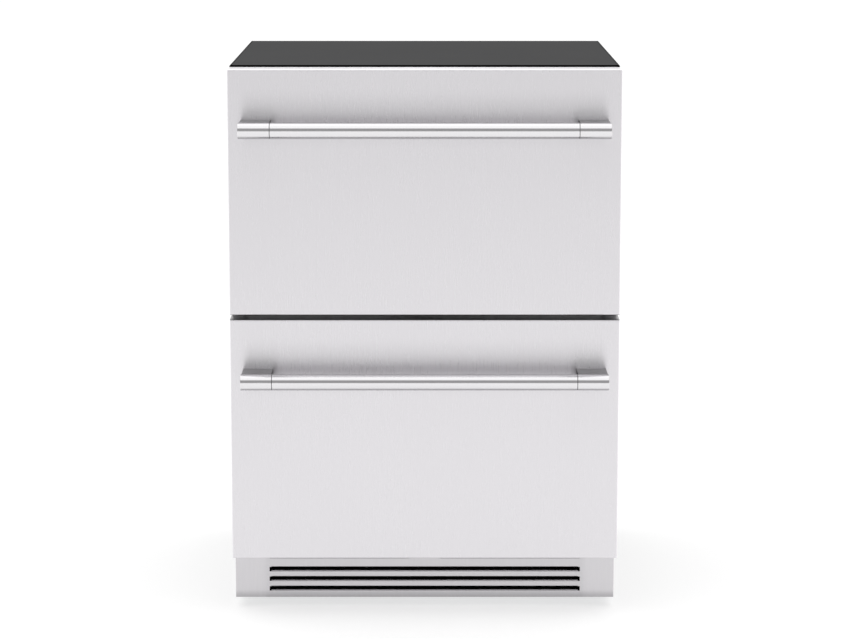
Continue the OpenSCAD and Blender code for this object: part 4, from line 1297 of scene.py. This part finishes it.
@dataclass
class FanGuard(Assembly):
    """Wire guard over the evaporator fan's opening: rings on crossing spokes."""

    radius: float = 43 * MM
    wire: float = 0.9 * MM
    gap: float = 1.2 * MM
    spoke_lift: float = 1.53 * MM
    rings: int = 5
    spokes: int = 4

    def build(self) -> None:
        """Builds the guard from round wire and fixes it to the cabinet."""
        lo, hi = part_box("evaporator_fan_blade")
        centre = (lo + hi) / 2
        centre.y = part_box("evaporator_cover")[0].y - self.gap
        place = Matrix.Translation(centre) @ Matrix.Rotation(math.pi / 2, 4, "X")
        mould, end, wire = Mould(), self.radius, self.wire
        for k in range(1, self.rings + 1):
            ring_r = self.radius * k / self.rings
            mould.lathe([(ring_r + x, z) for x, z in arc(wire, math.tau, 8)], place, segments=64)
        lift = Matrix.Translation((0, 0, self.spoke_lift))
        for k in range(self.spokes):
            turn = Matrix.Rotation(math.pi * k / self.spokes, 4, "Z") @ Matrix.Rotation(math.pi / 2, 4, "Y")
            mould.lathe([(0, -end), (wire, -end), (wire, end), (0, end)], place @ lift @ turn, segments=10)
        steel = self.palette.made["black_steel"]
        settle(mould.piece("evaporator_fan_guard", steel), "cabinet", "black_steel")


# ---- Air filter behind the toe kick ----


@dataclass
class AirFilter(Assembly):
    """Condenser filter behind the toe kick's openings: a frame, a fibre sheet and a grid of slats in
    near-black fibre, and a near-black sheet below it that stands in for the shade behind the openings.
    """

    # Near-black fibre: partly the filter's own dark colour, partly painted shade behind the openings.
    fibre: Moulded = Moulded((0.006, 0.006, 0.006), 0.95, 800.0, 0.0003, 0.1)
    half: float = 262 * MM
    depth: float = 7 * MM
    setback: float = 36 * MM
    low_gap: float = 11 * MM
    high_gap: float = 5 * MM
    border: float = 7 * MM
    border_round: float = 0.8 * MM
    overlap: float = 1 * MM
    sheet: Pair = (3 * MM, 1.6 * MM)
    pan_up: float = 4.4 * MM
    pan_start: float = 3 * MM
    pan_t: float = 1.2 * MM
    thin_round: float = 0.3 * MM
    pitch: float = 5.2 * MM
    slat: float = 1.1 * MM
    slat_back: float = 3.8 * MM
    slat_round: float = 0.25 * MM

    def build(self) -> None:
        """Builds the filter and the painted-shade sheet, and fixes them to the cabinet."""
        lo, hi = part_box("toe_kick")
        y0 = lo.y + self.setback
        y1, z0, z1 = y0 + self.depth, lo.z + self.low_gap, hi.z - self.high_gap
        fibre = self.fibre.paint("filter_fibre_finish")
        body, x, border = Mould(), self.half, self.border
        for low, high in ((z0, z0 + border), (z1 - border, z1)):
            body.block((-x, y0, low), (x, y1, high), self.border_round)
        for low, high in ((-x, -x + border), (x - border, x)):
            body.block((low, y0, z0 + border / 2), (high, y1, z1 - border / 2), self.border_round)
        inner = border - self.overlap
        back, front = self.sheet
        body.block((-x + inner, y1 - back, z0 + inner), (x - inner, y1 - front, z1 - inner), self.thin_round)
        # A near-black sheet below the filter, which stands in for the shade behind the kick's openings.
        shade_sheet_z = lo.z + self.pan_up
        body.block((-x, lo.y + self.pan_start, shade_sheet_z), (x, y1, shade_sheet_z + self.pan_t), self.thin_round)
        settle(body.piece("air_filter", fibre), "cabinet", "dark_plastic")
        bar, half, reach = Mould(), self.slat / 2, (z1 - z0) / 2 - inner
        bar.block((-half, -half, -reach), (half, half, reach), self.slat_round)
        row = centred(int(2 * (x - border) / self.pitch), self.pitch)
        spots = [Spot((x, y1 - self.slat_back, (z0 + z1) / 2)) for x in row]
        self.repeat("air_filter_slats", bar.piece("slat_form", fibre), spots, "cabinet", "dark_plastic", 41)


# ---- Touch keys ----


@dataclass
class TouchKeys(Assembly):
    """Unmarked touch keys and lamps on the front of the touch panel."""

    glass: Moulded = Moulded((0.008, 0.008, 0.010), 0.12, 300.0, 0.00001)
    side_inset: float = 7 * MM
    low_inset: float = 3 * MM
    high_inset: float = 2 * MM
    edge_round: float = 0.3 * MM
    rise: float = 0.35 * MM
    keys: int = 5
    pitch: float = 15 * MM
    key_r: float = 4.6 * MM
    key_w: float = 0.5 * MM
    key_h: float = 0.12 * MM
    lamp_r: float = 0.9 * MM
    lamp_h: Pair = (0.10 * MM, 0.14 * MM)
    sunk: float = 0.1 * MM

    def build(self) -> None:
        """Builds a glossy strip, and on it the keys' rings with a lamp in the middle of each."""
        lo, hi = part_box("control_panel")
        middle, y = (lo + hi) / 2, lo.y
        strip = Mould()
        strip.block((lo.x + self.side_inset, y - self.rise, lo.z + self.low_inset),
                    (hi.x - self.side_inset, y + self.rise, hi.z - self.high_inset), self.edge_round)
        settle(strip.piece("touch_strip", self.glass.paint("touch_glass_finish")), "cabinet", "dark_plastic")
        key, at, r, sunk = Mould(), Matrix.Identity(4), self.lamp_r, self.sunk
        key.band((self.key_r - self.key_w, self.key_r), (-sunk, self.key_h), at, segments=40)
        key.lathe([(0, -sunk), (r, -sunk), (r, self.lamp_h[0]), (0, self.lamp_h[1])], at, segments=16)
        form = key.piece("key_form", self.palette.made["light_plastic"])
        spots = grid([middle.x + x for x in centred(self.keys, self.pitch)], y - self.rise, [middle.z], -1)
        self.repeat("touch_rings", form, spots, "cabinet", "light_plastic", 61)


# ---- Stage, lights and camera ----


@dataclass(frozen=True)
class View:
    """The photograph's camera."""

    place: Triple = (0.00206, -4.573, 1.2038)
    target: Triple = (0.00206, 0.0, 0.4336)
    lens: float = 118.6
    sensor: float = 36.0
    clip_end: float = 200.0

    def build(self) -> None:
        """Sets the scene's camera."""
        data = bpy.data.cameras.new("view_camera")
        data.lens = self.lens
        data.sensor_width = self.sensor
        data.clip_end = self.clip_end
        camera = linked("view_camera", data)
        camera.location = self.place
        way = Vector(self.target) - Vector(self.place)
        camera.rotation_euler = way.to_track_quat("-Z", "Y").to_euler()
        bpy.context.scene.camera = camera


@dataclass(frozen=True)
class Studio:
    """Plain pale floor, a surround without edges, and soft light."""

    floor_half: float = 60.0
    glow: float = 0.62
    shade: float = 0.45
    bounce: Pair = (0.98, 0.76)
    bounce_reach: Pair = (1.0, 12.0)
    sun: float = 0.5
    sun_angle: float = 60.0
    sun_tilt: Pair = (18.0, -6.0)
    ceiling: float = 0.38
    ceiling_size: Pair = (9.0, 8.6)
    ceiling_place: Triple = (0.0, -1.7, 6.0)
    front_dim: float = 0.39
    front_bright: float = 0.86
    back_bright: float = 1.0
    dim_from: Pair = (-0.02, 0.06)
    dim_to: Pair = (0.54, 0.70)
    front_to_back: Pair = (-0.35, 0.35)

    def build(self) -> None:
        """Builds the floor, the world and the lamps, and sets the plain view transform."""
        self._floor()
        self._world()
        self._lamps()
        bpy.context.scene.view_settings.view_transform = "Standard"

    def _floor(self) -> None:
        """Lays the floor, which looks white to the camera and off metal, and bounces light as a pale floor
        painted paler near the object: a painted pool of light.
        """
        mesh = bpy.data.meshes.new("studio_floor")
        h = self.floor_half
        mesh.from_pydata([(-h, -h, 0), (h, -h, 0), (h, h, 0), (-h, h, 0)], [], [(0, 1, 2, 3)])
        floor = linked("studio_floor", mesh)
        paint = Paint("floor_finish", Specular_IOR_Level=0.0, Emission_Strength=self.glow)
        seen = paint.seen()
        sweep = paint.noise(1.3, 3.0) * 0.02
        x, y, _ = paint.parts(paint.place)
        near, far = self.bounce
        # Painted pool of light: the floor's bounce is paler near the object than far off.
        level = ((x * x + y * y) ** 0.5).rise(*self.bounce_reach) * (far - near) + near
        level = level + seen * (self.shade - level) + sweep
        white = (1.0, 1.0, 1.0)
        paint.feed("Emission Color", paint.tinted(white, seen - 1.0))
        mesh.materials.append(paint.finish(paint.tinted(white, level - 1.0), 0.9))

    def _world(self) -> None:
        """Makes the surround: white to the camera, and else bright behind the object and dim before it."""
        world = bpy.data.worlds.new("studio_world")
        world.use_nodes = True
        bpy.context.scene.world = world
        graph = Graph(world.node_tree)
        _, y, z = graph.parts(graph.node("ShaderNodeTexCoord").outputs["Object"])
        band = z.rise(*self.dim_from) * (1.0 - z.rise(*self.dim_to))
        front = self.front_bright - band * (self.front_bright - self.front_dim)
        behind = y.rise(*self.front_to_back)
        levels = (front + behind * (self.back_bright - front), 1.0)
        lit, white = (graph.node("ShaderNodeBackground", values={"Color": (1, 1, 1, 1), "Strength": level})
                      for level in levels)
        mix = graph.node("ShaderNodeMixShader", values={0: graph.seen(behind), 1: lit.outputs[0],
                                                        2: white.outputs[0]})
        graph.node("ShaderNodeOutputWorld", values={"Surface": mix.outputs[0]})

    def _lamps(self) -> None:
        """Hangs one wide ceiling light, and one broad sun that mirrors nowhere."""
        data = bpy.data.lights.new("ceiling_light", "AREA")
        data.shape = "RECTANGLE"
        data.size, data.size_y = self.ceiling_size
        data.energy = self.ceiling * math.pi * data.size * data.size_y
        linked("ceiling_light", data).location = self.ceiling_place
        data = bpy.data.lights.new("broad_sun", "SUN")
        data.energy = self.sun
        data.angle = math.radians(self.sun_angle)
        sun = linked("broad_sun", data)
        sun.rotation_euler = (*(math.radians(tilt) for tilt in self.sun_tilt), 0)
        sun.visible_glossy = False


# ---- The whole ----


class Refrigerator:
    """The object: its painted frame and its dressed pieces."""

    def __init__(self) -> None:
        """Makes the palette and the sub-assemblies."""
        self.palette = Palette()
        shared = (self.palette, CopyField())
        self.assemblies: list[Assembly] = [
            *(Handle(*shared, level) for level in Level),
            *(BinMat(*shared, level) for level in Level),
            FanGuard(*shared), Fasteners(*shared), AirFilter(*shared), TouchKeys(*shared),
        ]

    def build(self) -> None:
        """Paints the frame and builds every piece."""
        self.palette.dress_frame()
        for assembly in self.assemblies:
            assembly.build()


def main() -> None:
    """Builds the object and its stage."""
    logging.basicConfig(level=logging.INFO, format="%(name)s: %(message)s")
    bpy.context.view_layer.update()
    Refrigerator().build()
    Studio().build()
    View().build()


if __name__ == "__main__":
    main()
